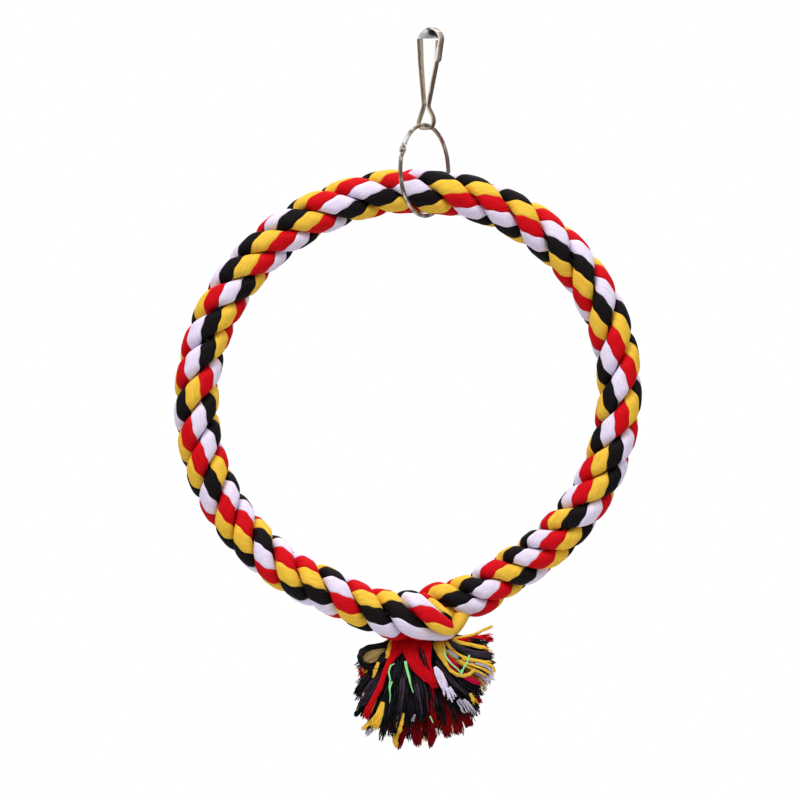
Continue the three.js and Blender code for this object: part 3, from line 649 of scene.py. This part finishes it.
@functools.cache
def nickel(finish):
    """Nickel plate with soft patches of tarnish, bright or worn to a warm brown, and painted highlights and
    shade from its shine.
    """
    material, tree, shader = new_material(f"nickel_{finish}", NICKEL_SURFACE)
    wear = add_node(tree, "TexNoise", WEAR_GRAIN)
    join(add_node(tree, "TexCoord").outputs["Object"], wear.inputs["Vector"])
    shown = add_node(tree, "Math")
    join(wear.outputs["Fac"], shown.inputs[0])
    join(attribute_node(tree, "shine").outputs["Fac"], shown.inputs[1])
    paint(tree, shader, shown.outputs["Value"], WEAR_SPAN, NICKEL_TONES[finish])
    gloss = add_node(tree, "MapRange", NICKEL_ROUGHNESS)
    join(wear.outputs["Fac"], gloss.inputs["Value"])
    join(gloss.outputs["Result"], shader.inputs["Roughness"])
    return material


def dress_yarn(piece, yarn, slot, *nodes):
    piece.data.materials.append(cotton(yarn))
    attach(piece, "rope_ring")
    if nodes:
        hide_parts(*nodes)


def back_thinning(turn):
    """The share of its full diameter that the rope has lost at its back end."""
    return (1.0 - BACK_END_DIAMETER / ROPE_DIAMETER) * rise(turn, BACK_TAPER_TURNS)


def rope_share(turn):
    """How thick the rope is there, as a share of its full diameter."""
    swollen = 1.0 + FRONT_SWELL * rise(-turn, FRONT_SWELL_TURNS)
    first, last = FRONT_ROUND_TURNS
    rounded = np.sqrt(1.0 - np.clip((-turn - first) / (last - first), 0.0, 1.0) ** 2)
    return swollen * rounded - back_thinning(turn)


def rope_centre(turn, front_drop=FRONT_DROP):
    """The rope's centre line: its ends lie further out and cross, and both drop to the neck."""
    oval = RING_RADIUS + RING_OVAL * np.cos(2 * np.radians(turn - OVAL_TURN))
    front = FRONT_LEAN * rise(-turn, FRONT_LEAN_TURNS) + front_drop * rise(-turn, FRONT_DROP_TURNS)
    back = BACK_LEAN * rise(turn, BACK_LEAN_TURNS) + BACK_DROP * rise(turn, BACK_TAPER_TURNS)
    radius = oval + front + back
    side = rise(turn, BACK_CROSS_TURNS) - rise(-turn, FRONT_CROSS_TURNS)
    depth = side * (ROPE_DIAMETER / 2 + SEAT_GAP) * (1.0 - back_thinning(turn) / 2)
    angle = np.radians(turn)
    return np.stack([radius * np.sin(angle), depth, radius * np.cos(angle)], axis=-1)


def rope_frame(turn):
    """Directions across the rope, outwards from the ring and to the front.

    They take no notice of the front end's drop, whose bend is too sharp for cuts square to it.
    """
    along = unit(rope_centre(turn + ROPE_STEP_TURN, 0.0) - rope_centre(turn - ROPE_STEP_TURN, 0.0))
    angle = np.radians(turn)
    outward = np.stack([np.sin(angle), np.zeros_like(angle), np.cos(angle)], axis=-1)
    outward = unit(outward - along * np.sum(outward * along, axis=-1, keepdims=True))
    return outward, np.cross(along, outward)


def ring_place():
    """The ring's own centre, from the joint on which the rope hangs."""
    hang = next(joint for joint in frame["joints"] if joint["name"] == "rope_swing")
    return np.array(hang["pos_m"]) / MM - rope_centre(np.array([HANG_TURN]))[0]


def eased(turn, least):
    """The turn, which is held by a soft change once it is below the least."""
    return least + HOLD_SOFTNESS * np.logaddexp(0.0, (turn - least) / HOLD_SOFTNESS)


def lay_count(turn):
    """Strands that have passed the front of the rope since its top."""
    held = eased(turn, FRONT_LAY_HOLD)
    turn = held + FRONT_LAY_SHARE * (turn - held)
    count = LAY_START + LAY_RATE * np.radians(turn)
    for waves, strands, wave_turn in LAY_WAVES:
        count = count + strands * np.cos(np.radians(waves * turn + wave_turn))
    return count - FRONT_LAY * rise(-turn, FRONT_LAY_TURNS)


def strand_angle(strand, turn):
    """Where the strand lies round the rope: 0 is outwards, a quarter turn is the front."""
    return math.pi / 2 + 2 * math.pi * (lay_count(turn) - strand) / STRAND_COUNT


def yarn_shown(strand, turn):
    """The yarn that shows at the strand's front side, counted from the first."""
    angle = np.radians(turn)
    towards_top, towards_right = YARN_DRIFTS[strand]
    drift = towards_top * np.cos(angle) + towards_right * np.sin(angle)
    shift = YARN_END_SHIFTS[strand] * rise(-turn, YARN_END_SHIFT_TURNS)
    wound = YARN_RATE * eased(turn, YARN_HOLD_TURNS[strand])
    return YARN_STARTS[strand] + wound + drift + shift


def smooth_least(first, second):
    """The lesser of two, with a rounded change from one to the other."""
    return (first ** -PRESS_SHARPNESS + second ** -PRESS_SHARPNESS) ** (-1.0 / PRESS_SHARPNESS)


def strand_radius(angles):
    """A strand's radius in a cut across the rope, at angles from its outer side.

    The cut goes slantwise through the strand, so it is an oval, pressed flat against both neighbours.
    """
    high = np.abs(np.cos(angles) / STRAND_RADIUS) ** STRAND_FULLNESS
    wide = np.abs(np.sin(angles) / STRAND_HALF_WIDTH) ** STRAND_FULLNESS
    radius = (high + wide) ** (-1.0 / STRAND_FULLNESS)
    half_angle = math.pi / STRAND_COUNT
    for side in (-1.0, 1.0):
        facing = np.cos(angles - side * (math.pi / 2 + half_angle))
        limit = STRAND_LINE * math.sin(half_angle) / np.maximum(facing, PRESS_LEAST_FACING)
        radius = smooth_least(radius, limit)
    return radius


def hang_fill(turn, out, forward):
    """How much further out the rope's underside lies where it rests on the link ring."""
    radius = np.hypot(out, forward)
    near = np.exp(-((turn - HANG_TURN) / HANG_FILL_TURNS) ** 2)[:, None]
    share = near * rise(-out / radius, HANG_FILL_SIDES) * rise(radius, HANG_FILL_DEPTHS)
    return 1.0 + share * (HANG_FILL_RADIUS / radius - 1.0)


def make_rope():
    """Strands laid round one another, each of four yarns that are narrow at the strand's middle."""
    turn = np.arange(FRONT_END_TURN, BACK_END_TURN + ROPE_STEP_TURN / 2, ROPE_STEP_TURN)
    share = rope_share(turn)[:, None]
    centre = rope_centre(turn)
    outward, front = rope_frame(turn)
    half_yarn = math.pi / len(YARN_NAMES)
    arc = np.linspace(-half_yarn, half_yarn, YARN_ARC_POINTS)
    groove = 1.0 - YARN_GROOVE * np.abs(arc / half_yarn) ** YARN_GROOVE_POWER
    inner = np.array([half_yarn, -half_yarn]) / 2
    cut = np.concatenate([arc, inner])
    core = np.full((len(turn), len(inner)), YARN_CORE)
    faces = tube_faces(len(turn), len(cut))
    for strand in range(STRAND_COUNT):
        lay = strand_angle(strand, turn)[:, None]
        shown = yarn_shown(strand, turn)[:, None]
        for yarn, yarn_name in enumerate(YARN_NAMES):
            middle = math.pi / 2 + 2 * half_yarn * (yarn - shown)
            reach = np.concatenate([strand_radius(middle + arc - lay) * groove, core], axis=1) * share
            out = np.cos(lay) * STRAND_LINE * share + np.cos(middle + cut) * reach
            forward = np.sin(lay) * STRAND_LINE * share + np.sin(middle + cut) * reach
            filled = hang_fill(turn, out, forward)[:, :, None]
            rings = (outward[:, None, :] * out[:, :, None] + front[:, None, :] * forward[:, :, None]) * filled
            rings = rings + centre[:, None, :] + ring_place()
            apart = YARN_APART * (len(YARN_NAMES) * strand + yarn)
            fibre = fibre_places(run_length(centre)[:, None], cut * STRAND_RADIUS, apart)
            name = f"rope_strand_{strand + 1}_{yarn_name}_yarn"
            piece = make_mesh(name, rings.reshape(-1, 3), faces, fibre)
            dress_yarn(piece, yarn_name, yarn_name, f"rope_strand_{strand + 1}")


def yarn_mesh(name, lines, thickness, radii, aside, sides, first=0):
    """One mesh of round yarns along lines, with a thickness at each point."""
    ahead = unit(np.gradient(lines, axis=1))
    side = unit(np.cross(ahead, aside))
    other = np.cross(side, ahead)
    angle = ring_angles(sides)
    ring = np.cos(angle)[:, None] * side[:, :, None] + np.sin(angle)[:, None] * other[:, :, None]
    rings = lines[:, :, None] + ring * thickness[:, :, None, None]
    count, points = lines.shape[:2]
    faces = []
    for yarn in range(count):
        faces += tube_faces(points, sides, yarn * points * sides)
    apart = YARN_APART * (first + np.arange(count))[:, None, None]
    fibre = fibre_places(run_length(lines)[:, :, None], angle * radii[:, :, None], apart)
    return make_mesh(name, rings.reshape(-1, 3), faces, fibre)


def coil_mesh(name, line, radius, sides, index=0):
    """One round yarn along a line, the same radius all along or one for each point."""
    radius = np.broadcast_to(radius, (1, len(line)))
    return yarn_mesh(name, line[None], radius, radius, COIL_ASIDE, sides, index)


def make_core():
    """The core wire inside the rope."""
    turn = np.arange(FRONT_END_TURN + CORE_SHORT, BACK_END_TURN - CORE_SHORT, CORE_STEP_TURN)
    piece = coil_mesh("rope_core_drawn_wire", rope_centre(turn) + ring_place(), CORE_RADIUS, CORE_SIDES)
    piece.data.materials.append(drawn_steel())
    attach(piece, "rope_ring")
    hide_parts("rope_core_wire")


def tassel_place():
    """The middle of the tassel's neck, from the box of its solid."""
    low, high = (np.array(corner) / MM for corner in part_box("tassel_neck"))
    middle = (low + high) / 2
    return np.array([middle[0] - (NECK_LEFT + NECK_RIGHT) / 2, middle[1], middle[2]])


def wound_line(across, away, turn):
    """Points wound round the neck's own middle line."""
    return np.stack([across, away * np.cos(turn), away * np.sin(turn)], axis=-1) + tassel_place()


def make_neck():
    """The neck's twisted yarns, the thread wound round them and the yarn drawn down to them."""
    at = np.linspace(0.0, 1.0, NECK_POINTS)
    across = NECK_LEFT + (NECK_RIGHT - NECK_LEFT) * at
    drawn_in = np.abs(across - TIE_PLACE) < TIE_WIDTH / 2
    away = NECK_RADIUS - NECK_YARN_RADIUS - np.where(drawn_in, 2 * TIE_THREAD_RADIUS, 0.0)
    for yarn in range(NECK_YARNS):
        line = wound_line(across, away, 2 * math.pi * yarn / NECK_YARNS + NECK_TWIST * at)
        color = NECK_COLORS[yarn % len(NECK_COLORS)]
        piece = coil_mesh(f"tassel_neck_yarn_{yarn + 1}", line, NECK_YARN_RADIUS, NECK_YARN_SIDES, yarn)
        dress_yarn(piece, color, color, "tassel_neck")
    turns = np.linspace(0.0, 2 * math.pi * TIE_TURNS, TIE_TURN_POINTS * TIE_TURNS)
    across = TIE_PLACE + (TIE_WIDTH - 2 * TIE_THREAD_RADIUS) * (turns / turns[-1] - 0.5)
    line = wound_line(across, NECK_RADIUS - TIE_THREAD_RADIUS, turns)
    piece = coil_mesh("tassel_tie_windings", line, TIE_THREAD_RADIUS, TIE_THREAD_SIDES)
    dress_yarn(piece, "white", "white", "tassel_tie")
    run = spline(END_YARN, np.linspace(0, len(END_YARN) - 1, END_YARN_POINTS))
    piece = coil_mesh("rope_end_drawn_yarn", run[:, :3] + tassel_place(), run[:, 3], END_YARN_SIDES)
    dress_yarn(piece, "yellow", "yellow")


def scattered(count):
    """Places scattered evenly in a round of radius 1."""
    angle = random.uniform(0, 2 * math.pi, count)
    away = np.sqrt(random.uniform(0, 1, count))
    return np.stack([away * np.cos(angle), away * np.sin(angle)], axis=-1)


def bunch_lines(count, fray, places):
    """Lines of a bunch's threads: they draw together in clumps, each of which ends in a point."""
    places = np.asarray(places, float)
    middle = places[:, :3]
    steps = np.arange(len(places), dtype=float)
    ahead = np.gradient(middle, axis=0)
    across = unit(np.stack([-ahead[:, 2], 0 * steps, ahead[:, 0]], axis=-1))
    share = (steps / steps[-1])[:, None]
    clumps = 1 + count // CLUMP_THREADS
    clump = random.integers(0, clumps, count)
    own = scattered(count)
    shared = scattered(clumps)[clump]
    pull = CLUMP_PULL * share ** 2
    spread = own[:, None] * (1 - pull) + shared[:, None] * pull
    sideways = spread[..., :1] * places[:, 3:4] * across
    backwards = spread[..., 1:] * places[:, 4:] * BACKWARDS
    frayed = random.normal(0, FRAY_SPREAD, (count, 1, 3)) * fray * share ** 2
    lines = middle + sideways + backwards + frayed
    clump_reach = random.uniform(THREAD_SHORTEST, 1.0, clumps)[clump]
    reach = clump_reach - THREAD_POINTED * np.linalg.norm(own - shared, axis=-1) / 2
    at = reach[:, None] * steps[-1] * np.linspace(0, 1, THREAD_POINTS)
    return spline(lines, at)


def wavy(lines):
    """Lines that wave a little, each in its own way and more towards the tip."""
    share = np.linspace(0, 1, lines.shape[1])
    phase = random.uniform(0, 2 * math.pi, (len(lines), 1, 3))
    rate = 2 * math.pi * WAVE_COUNT * random.uniform(*WAVE_COUNT_SPAN, (len(lines), 1, 3))
    return lines + WAVE_SIZE * share[:, None] * np.sin(rate * share[:, None] + phase)


def thread_mesh(name, lines, radii):
    """One mesh of threads along lines, each thinner at its tip."""
    share = np.linspace(0, 1, lines.shape[1])
    thickness = radii[:, None] * (1 - (1 - THREAD_TIP_SHARE) * share ** 3)
    return yarn_mesh(name, lines, thickness, radii[:, None], BACKWARDS, THREAD_SIDES)


def fill_bunch(row, column):
    """A bunch behind the front ones, from the neck to the tassel's outline."""
    stray = random.uniform(-1.0, 1.0, 3)
    across = np.clip((column + 0.5 + FILL_STRAY_COLUMNS * stray[0]) / FILL_ACROSS, 0.0, 1.0)
    tip = spline(FAN_TIPS, np.array([across * (len(FAN_TIPS) - 1)]))[0]
    left = FILL_ROOT_LEFT + (FILL_ROOT_RIGHT - FILL_ROOT_LEFT) * across + FILL_STRAY_ROOT * stray[1]
    root = np.array([left, FILL_ROOT_UP])
    depth = row + FILL_STRAY_DEPTH * stray[2]
    reach = random.uniform(*FILL_REACH)
    half_width = random.uniform(*FILL_HALF_WIDTH)
    places = []
    for share in FILL_PLACES:
        place = root + (tip - root) * share * reach
        spread = FILL_ROOT_SPREAD + (1 - FILL_ROOT_SPREAD) * share
        back = depth * (FILL_ROOT_DEPTH + (1 - FILL_ROOT_DEPTH) * share)
        places.append((place[0], back, place[1], half_width * spread, FILL_HALF_DEPTH * spread))
    yarn = random.choice(list(FILL_YARNS), p=list(FILL_YARNS.values()))
    return yarn, FILL_THREADS, FILL_FRAY, places


def make_tassel():
    """The threads of all bunches, joined in one piece for each yarn."""
    lines = {yarn: [] for yarns in TASSEL_YARNS.values() for yarn in yarns}
    radii = {yarn: [] for yarn in lines}
    fill = [fill_bunch(row, column) for row in FILL_ROWS for column in range(FILL_ACROSS)]
    for yarn, count, fray, places in FRONT_BUNCHES + fill:
        lines[yarn].append(wavy(bunch_lines(count, fray, places)))
        radii[yarn].append(THREAD_RADIUS * random.uniform(*THREAD_RADIUS_SPAN, count))
    for radius, places in LOOSE_THREADS:
        at = np.linspace(0, len(places) - 1, THREAD_POINTS)
        lines["lime"].append(spline(places, at)[None])
        radii["lime"].append(np.array([radius]))
    for slot, yarns in TASSEL_YARNS.items():
        for yarn in yarns:
            run = np.concatenate(lines[yarn]) + tassel_place()
            piece = thread_mesh(f"tassel_{yarn}_threads", run, np.concatenate(radii[yarn]))
            bundles = BUNDLE_PLACES[slot] if yarn == yarns[0] else ()
            dress_yarn(piece, yarn, slot, *(f"tassel_bundle_{place}" for place in bundles))


def placed(across, back, up, turn, place):
    """Points of a flat part, drawn in its own upright plane, put in the object's frame."""
    sine = math.sin(math.radians(turn))
    cosine = math.cos(math.radians(turn))
    points = np.stack([across * cosine - back * sine, across * sine + back * cosine, up], axis=-1)
    return points + np.array(place)


def hook_placed(across, back, up):
    angle = math.radians(HOOK_TURN)
    place = (HOOK_SEAT_DEPTH * math.sin(angle), -HOOK_SEAT_DEPTH * math.cos(angle), 0.0)
    return placed(across, back, up, HOOK_TURN, place)


def metal_piece(name, rings, finish, *nodes, shine=None):
    """A closed tube of nickel plate; shine tells how much lighter or darker each point is painted, as painted
    highlight and shade.
    """
    piece = make_mesh(name, rings.reshape(-1, 3), tube_faces(*rings.shape[:2]))
    if shine is not None:
        attribute = piece.data.attributes.new("shine", "FLOAT", "POINT")
        attribute.data.foreach_set("value", np.asarray(shine, np.float32).ravel())
    piece.data.materials.append(nickel(finish))
    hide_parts(*nodes)
    return piece


def soften_edges(piece):
    bevel = piece.modifiers.new("edges", "BEVEL")
    bevel.width = EDGE_WIDTH * MM
    bevel.segments = EDGE_SEGMENTS
    bevel.limit_method = "ANGLE"
    bevel.angle_limit = math.radians(EDGE_SHARP)
    bevel.harden_normals = True


def rounded_line(corners, bend):
    """A line through corners that are rounded off, as points close together."""
    corners = np.asarray(corners, float)
    points = [corners[0]]
    for index in range(1, len(corners) - 1):
        corner = corners[index]
        before = corner + unit(corners[index - 1] - corner) * bend
        after = corner + unit(corners[index + 1] - corner) * bend
        for share in np.linspace(0.0, 1.0, STRIP_BEND_POINTS):
            points.append((1 - share) ** 2 * before + 2 * share * (1 - share) * corner + share ** 2 * after)
    points.append(corners[-1])
    points = np.array(points)
    length = run_length(points)
    at = np.linspace(0.0, length[-1], int(length[-1] / STRIP_STEP))
    return np.stack([np.interp(at, length, points[:, axis]) for axis in (0, 1)], axis=-1)


def squared_ring(sides, power):
    """Places across and through a ring that is squarer the less the power is."""
    angle = 2 * math.pi * (np.arange(sides) + 0.5) / sides
    return [np.sign(part) * np.abs(part) ** power for part in (np.cos(angle), np.sin(angle))]


def make_strip(name, line, widths, shine_sides, node):
    """A strip with rounded edges bent along a line, its width changing from end to end.

    It has a painted highlight, lightest on its inner side, towards the back or the front as the shine sides
    say.
    """
    line = rounded_line(line, STRIP_BEND)
    ahead = unit(np.gradient(line, axis=0))
    normal = np.stack([-ahead[:, 1], ahead[:, 0]], axis=-1)
    ring = np.stack(squared_ring(STRIP_SIDES, 2.0 / STRIP_CORNER), axis=-1)
    share = np.linspace(0, 1, len(line))
    half_width = np.interp(share, STRIP_PLACES, widths) / 2
    shine_side = np.interp(share, STRIP_PLACES, shine_sides)[:, None]
    shine = STRIP_SHINE * (ring[:, 0] + shine_side * ring[:, 1] - STRIP_SHINE_FROM)
    flat = line[:, None] + normal[:, None] * ring[None, :, :1] * STRIP_THICKNESS / 2
    depth = half_width[:, None] * ring[None, :, 1]
    rings = hook_placed(flat[..., 0], depth, flat[..., 1])
    piece = metal_piece(name, rings, "tarnished", node, shine=shine)
    piece.data.set_sharp_from_angle(angle=math.radians(STRIP_SHARP))
    return piece


def hood_arc():
    """Places on the rim over the crown, the way inwards, and how far each is on the left side."""
    for angle in np.linspace(math.pi, 0.0, HOOD_ARC_STEPS):
        width = HOOD_LEFT if math.cos(angle) < 0 else HOOD_RIGHT
        rim = np.array([width * math.cos(angle), HOOD_TOP * math.sin(angle)])
        yield rim, -unit(rim), 1.0 - rise(rim[0], HOOD_DOME_SIDES)


def hood_tail():
    """Places down the rim's straight tail, and how much each is cut back at its corner."""
    drop, cut = HOOD_TAIL_CORNER
    for down, inset in ((HOOD_TAIL / 2, 0.0), (HOOD_TAIL - drop, 0.0), (HOOD_TAIL, cut)):
        right = HOOD_RIGHT - HOOD_TAIL_LEAN * down / HOOD_TAIL
        yield np.array([right - inset, -down]), inset


def channel(rim, inward, front, front_lip, back_lip):
    """A cut through the hood's rim: a gutter with a lip on the front and one on the back."""
    inner_front = front + HOOD_SHEET
    inner_back = HOOD_HALF_DEPTH - HOOD_SHEET
    reaches = (0.0, front_lip, front_lip, HOOD_SHEET, HOOD_SHEET, back_lip, back_lip, 0.0)
    depths = [front] * 2 + [inner_front] * 2 + [inner_back] * 2 + [HOOD_HALF_DEPTH] * 2
    # The front lip is painted lighter as a highlight, and the rest darker as painted shade
    shines = [HOOD_SHINE / 2] * 3 + [-HOOD_SHINE / 2] * 5
    return [(rim + inward * reach, depth, shine) for reach, depth, shine in zip(reaches, depths, shines)]


def rounding(gap, radius):
    """How far a rounded edge falls away at a gap from the edge, as a share of its whole fall."""
    share = np.clip(1.0 - gap / radius, 0.0, 1.0)
    return 1.0 - np.sqrt(1.0 - share ** 2)


def plate_depth(place, gap, left):
    """How far back the front of the crown's plate lies.

    It is domed and to the fore on the left, and a sunk bowl on the right.
    """
    slant = HOOD_PLATE_SUNK * rise(place[0], HOOD_PLATE_SLANT) - HOOD_HALF_DEPTH
    fall = left * HOOD_DOME_FALL * rounding(gap, HOOD_DOME)
    return slant + fall - (1.0 - left) * HOOD_BOWL_RISE * rounding(gap, HOOD_BOWL)


def crown_column(rim, inward, left):
    """A cut through the crown's plate, from the rim down its front and up its back, with painted shade in its
    colour.
    """
    top = rim + inward * HOOD_SHEET * (1.0 - left)
    low = np.array([rim[0] * (1.0 - HOOD_PLATE_INSET / HOOD_RIGHT), min(HOOD_PLATE_LOW, rim[1])])
    front = []
    for share in np.linspace(0.0, 1.0, HOOD_PLATE_STEPS):
        place = top + (low - top) * share
        gap = np.dot(place - top, inward)
        # Painted shade near the rim on the right, then a painted dark reflection that grows towards the right
        painted_dark = (1.0 - left) * (1.0 - rise(gap, CROWN_PAINTED_SHADE_GAP))
        painted_dark = painted_dark + CROWN_PAINTED_REFLECTION * rise(place[0], CROWN_PAINTED_REFLECTION_SIDES)
        front.append((place, plate_depth(place, gap, left), CROWN_SHINE * (CROWN_SHINE_MIDDLE - painted_dark)))
    return front + [(place, depth + HOOD_SHEET, shine) for place, depth, shine in reversed(front)]


def hood_piece(name, cuts, finish):
    points = np.array([[(*flat, depth, shine) for flat, depth, shine in cut] for cut in cuts])
    across, up, depth, shine = np.moveaxis(points, -1, 0)
    piece = metal_piece(name, hook_placed(across, depth, up), finish, "snap_hook_body", shine=shine)
    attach(piece, "hook")
    soften_edges(piece)


def make_hood():
    """The crown's plate, and a gutter whose tail takes the gate's tip."""
    gutter = []
    plate = []
    for rim, inward, left in hood_arc():
        front = (HOOD_DOME_FALL + HOOD_SHEET) * left - HOOD_HALF_DEPTH
        lip = HOOD_SHEET + (HOOD_FRONT_LIP - HOOD_SHEET) * (1.0 - left)
        gutter.append(channel(rim, inward, front, lip, HOOD_BACK_LIP))
        plate.append(crown_column(rim, inward, left))
    for rim, inset in hood_tail():
        lips = (HOOD_FRONT_TAIL - inset, HOOD_BACK_TAIL - inset)
        gutter.append(channel(rim, np.array([-1.0, 0.0]), -HOOD_HALF_DEPTH, *lips))
    hood_piece("snap_hook_hood", gutter, "brown")
    hood_piece("snap_hook_crown_plate", plate, "crown")


def make_hook():
    """The hook's strip, its hood, and the gate, a strip that goes on from the end of the hook's strip."""
    spine = make_strip("snap_hook_strip", SPINE_LINE, SPINE_WIDTHS, SPINE_SHINE_SIDES, "snap_hook_body")
    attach(spine, "hook")
    gate = make_strip("snap_hook_gate_strip", GATE_LINE, GATE_WIDTHS, GATE_SHINE_SIDES, "snap_hook_gate")
    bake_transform(gate)
    make_hood()


def link_half(name, toward, side, shoulder, body, node):
    """Half of the link ring: its wire flattens to a round tab at the rivet and to a lap at the catch.

    Beside the tab it swells to the shoulder, where a highlight is painted into its plate colour.
    """
    half_length = math.pi * LINK_RADIUS
    at = np.arange(-LINK_TAB_RADIUS, half_length + LINK_LAP + LINK_STEP / 2, LINK_STEP)
    at[0] = -LINK_TAB_RADIUS + TIP_SIZE
    turn = math.radians(LINK_HINGE_TURN) + toward * at / LINK_RADIUS
    outward = np.stack([np.cos(turn), np.sin(turn)], axis=-1)
    wire = LINK_WIRE / 2
    tab = np.sqrt(np.maximum(LINK_TAB_RADIUS ** 2 - at ** 2, 0.0))
    swelling = (shoulder - wire) * (1.0 - rise(at, LINK_SHOULDER_BLEND))
    width = np.where(at < 0, tab, np.maximum(tab, wire + swelling))
    painted_highlight = 0.0 if shoulder == wire else LINK_HINGE_SHINE
    shine = LINK_SHINE + painted_highlight * (1.0 - rise(at, LINK_HINGE_SHINE_GAP))
    shine = np.repeat(shine[:, None], LINK_SIDES, axis=1)
    at_tab = 1.0 - rise(at, LINK_TAB_BLEND)
    at_lap = 1.0 - rise(half_length - at, LINK_LAP_BLEND)
    cut = np.maximum(at_tab, at_lap)
    face = -wire + (wire + LINK_FACE_GAP) * cut
    across, through = squared_ring(LINK_SIDES, 1.0 - LINK_TAB_SQUARED * at_tab[:, None])
    through = np.maximum(through * wire, face[:, None]) * side
    flat = outward[:, None] * (LINK_RADIUS + across * width[:, None])[..., None]
    rings = placed(flat[..., 0], through, flat[..., 1], LINK_TURN, LINK_PLACE)
    piece = metal_piece(name, rings, "worn", node, shine=shine)
    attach(piece, body)
    soften_edges(piece)


def make_rivet():
    """The hinge's rivet: a pin with a domed head on each side."""
    dome = np.linspace(0.0, math.pi / 2, RIVET_DOME_POINTS)
    head = [(RIVET_HEAD_RADIUS * math.cos(a), RIVET_UNDER + RIVET_HEAD_HEIGHT * math.sin(a)) for a in dome]
    half = [(RIVET_RADIUS, 0.0), (RIVET_RADIUS, RIVET_UNDER)] + head[:-1] + [(TIP_SIZE, head[-1][1])]
    profile = [(radius, -height) for radius, height in reversed(half[1:])] + half
    radius, height = np.array(profile).T[:, :, None]
    turn = ring_angles(RIVET_SIDES)
    hinge = math.radians(LINK_HINGE_TURN)
    across = LINK_RADIUS * math.cos(hinge) + radius * np.cos(turn)
    up = LINK_RADIUS * math.sin(hinge) + radius * np.sin(turn)
    rings = placed(across, height, up, LINK_TURN, LINK_PLACE)
    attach(metal_piece("link_ring_domed_rivet", rings, "bright", "link_ring_rivet"), "link")


def make_link():
    link_half("link_ring_upper_wire", -1, 1, LINK_SHOULDER, "link", "link_ring_upper_half")
    link_half("link_ring_lower_wire", 1, -1, LINK_WIRE / 2, "link_lower", "link_ring_lower_half")
    make_rivet()


def make_camera():
    """A camera far off in front, framed as the photograph is."""
    data = bpy.data.cameras.new("camera")
    camera = add_object("camera", data)
    data.sensor_width = SENSOR_WIDTH
    data.lens = SENSOR_WIDTH * CAMERA_DISTANCE / (PIXEL * IMAGE_PIXELS)
    middle = IMAGE_PIXELS / 2
    across = (middle - SEAT_PIXEL[0]) * PIXEL
    height = (SEAT_PIXEL[1] - middle) * PIXEL
    camera.location = (across * MM, -CAMERA_DISTANCE * MM, height * MM)
    camera.rotation_euler = (math.pi / 2, 0.0, 0.0)
    data.clip_end = CAMERA_REACH * MM
    scene.camera = camera


def area_light(name, place, size, power):
    """A square lamp that is aimed at the middle of the object."""
    data = bpy.data.lights.new(name, "AREA")
    data.shape = "SQUARE"
    data.size = size
    data.energy = power
    lamp = add_object(name, data)
    lamp.location = place
    aim = np.array(STUDIO_MIDDLE) - np.array(place)
    flat = math.hypot(aim[0], aim[1])
    lamp.rotation_euler = (math.atan2(flat, -aim[2]), 0.0, math.atan2(aim[1], aim[0]) - math.pi / 2)


def make_surroundings():
    """A white backdrop, and light that comes mostly from above."""
    world = bpy.data.worlds.new("studio")
    scene.world = world
    world.use_nodes = True
    tree = world.node_tree
    surround = tree.nodes["Background"]
    parts = add_node(tree, "SeparateXYZ")
    join(add_node(tree, "TexCoord").outputs["Generated"], parts.inputs["Vector"])
    span = {"From Min": -1.0, "From Max": 1.0, "To Min": SURROUND_LOW, "To Max": SURROUND_HIGH}
    height = add_node(tree, "MapRange", span)
    join(parts.outputs["Z"], height.inputs["Value"])
    join(height.outputs["Result"], surround.inputs["Color"])
    backdrop = add_node(tree, "Background", {"Color": BACKDROP_TONE})
    mix = add_node(tree, "MixShader")
    join(add_node(tree, "LightPath").outputs["Is Camera Ray"], mix.inputs["Fac"])
    join(surround.outputs["Background"], mix.inputs[1])
    join(backdrop.outputs["Background"], mix.inputs[2])
    join(mix.outputs["Shader"], tree.nodes["World Output"].inputs["Surface"])


def make_studio():
    """Surroundings, lamps and a plain pale floor."""
    make_surroundings()
    for name, place, size, power in STUDIO_LIGHTS:
        area_light(name, place, size, power)
    scene.view_settings.view_transform = "Standard"
    corners = [(-1, -1), (1, -1), (1, 1), (-1, 1)]
    points = [(x * FLOOR_HALF_WIDTH, y * FLOOR_HALF_WIDTH, -FLOOR_DOWN) for x, y in corners]
    floor = make_mesh("floor", points, [(0, 1, 2, 3)])
    floor.data.materials.append(new_material("pale_floor", {"Base Color": FLOOR_TONE})[0])


make_camera()
make_studio()
make_rope()
make_core()
make_neck()
make_tassel()
make_hook()
make_link()
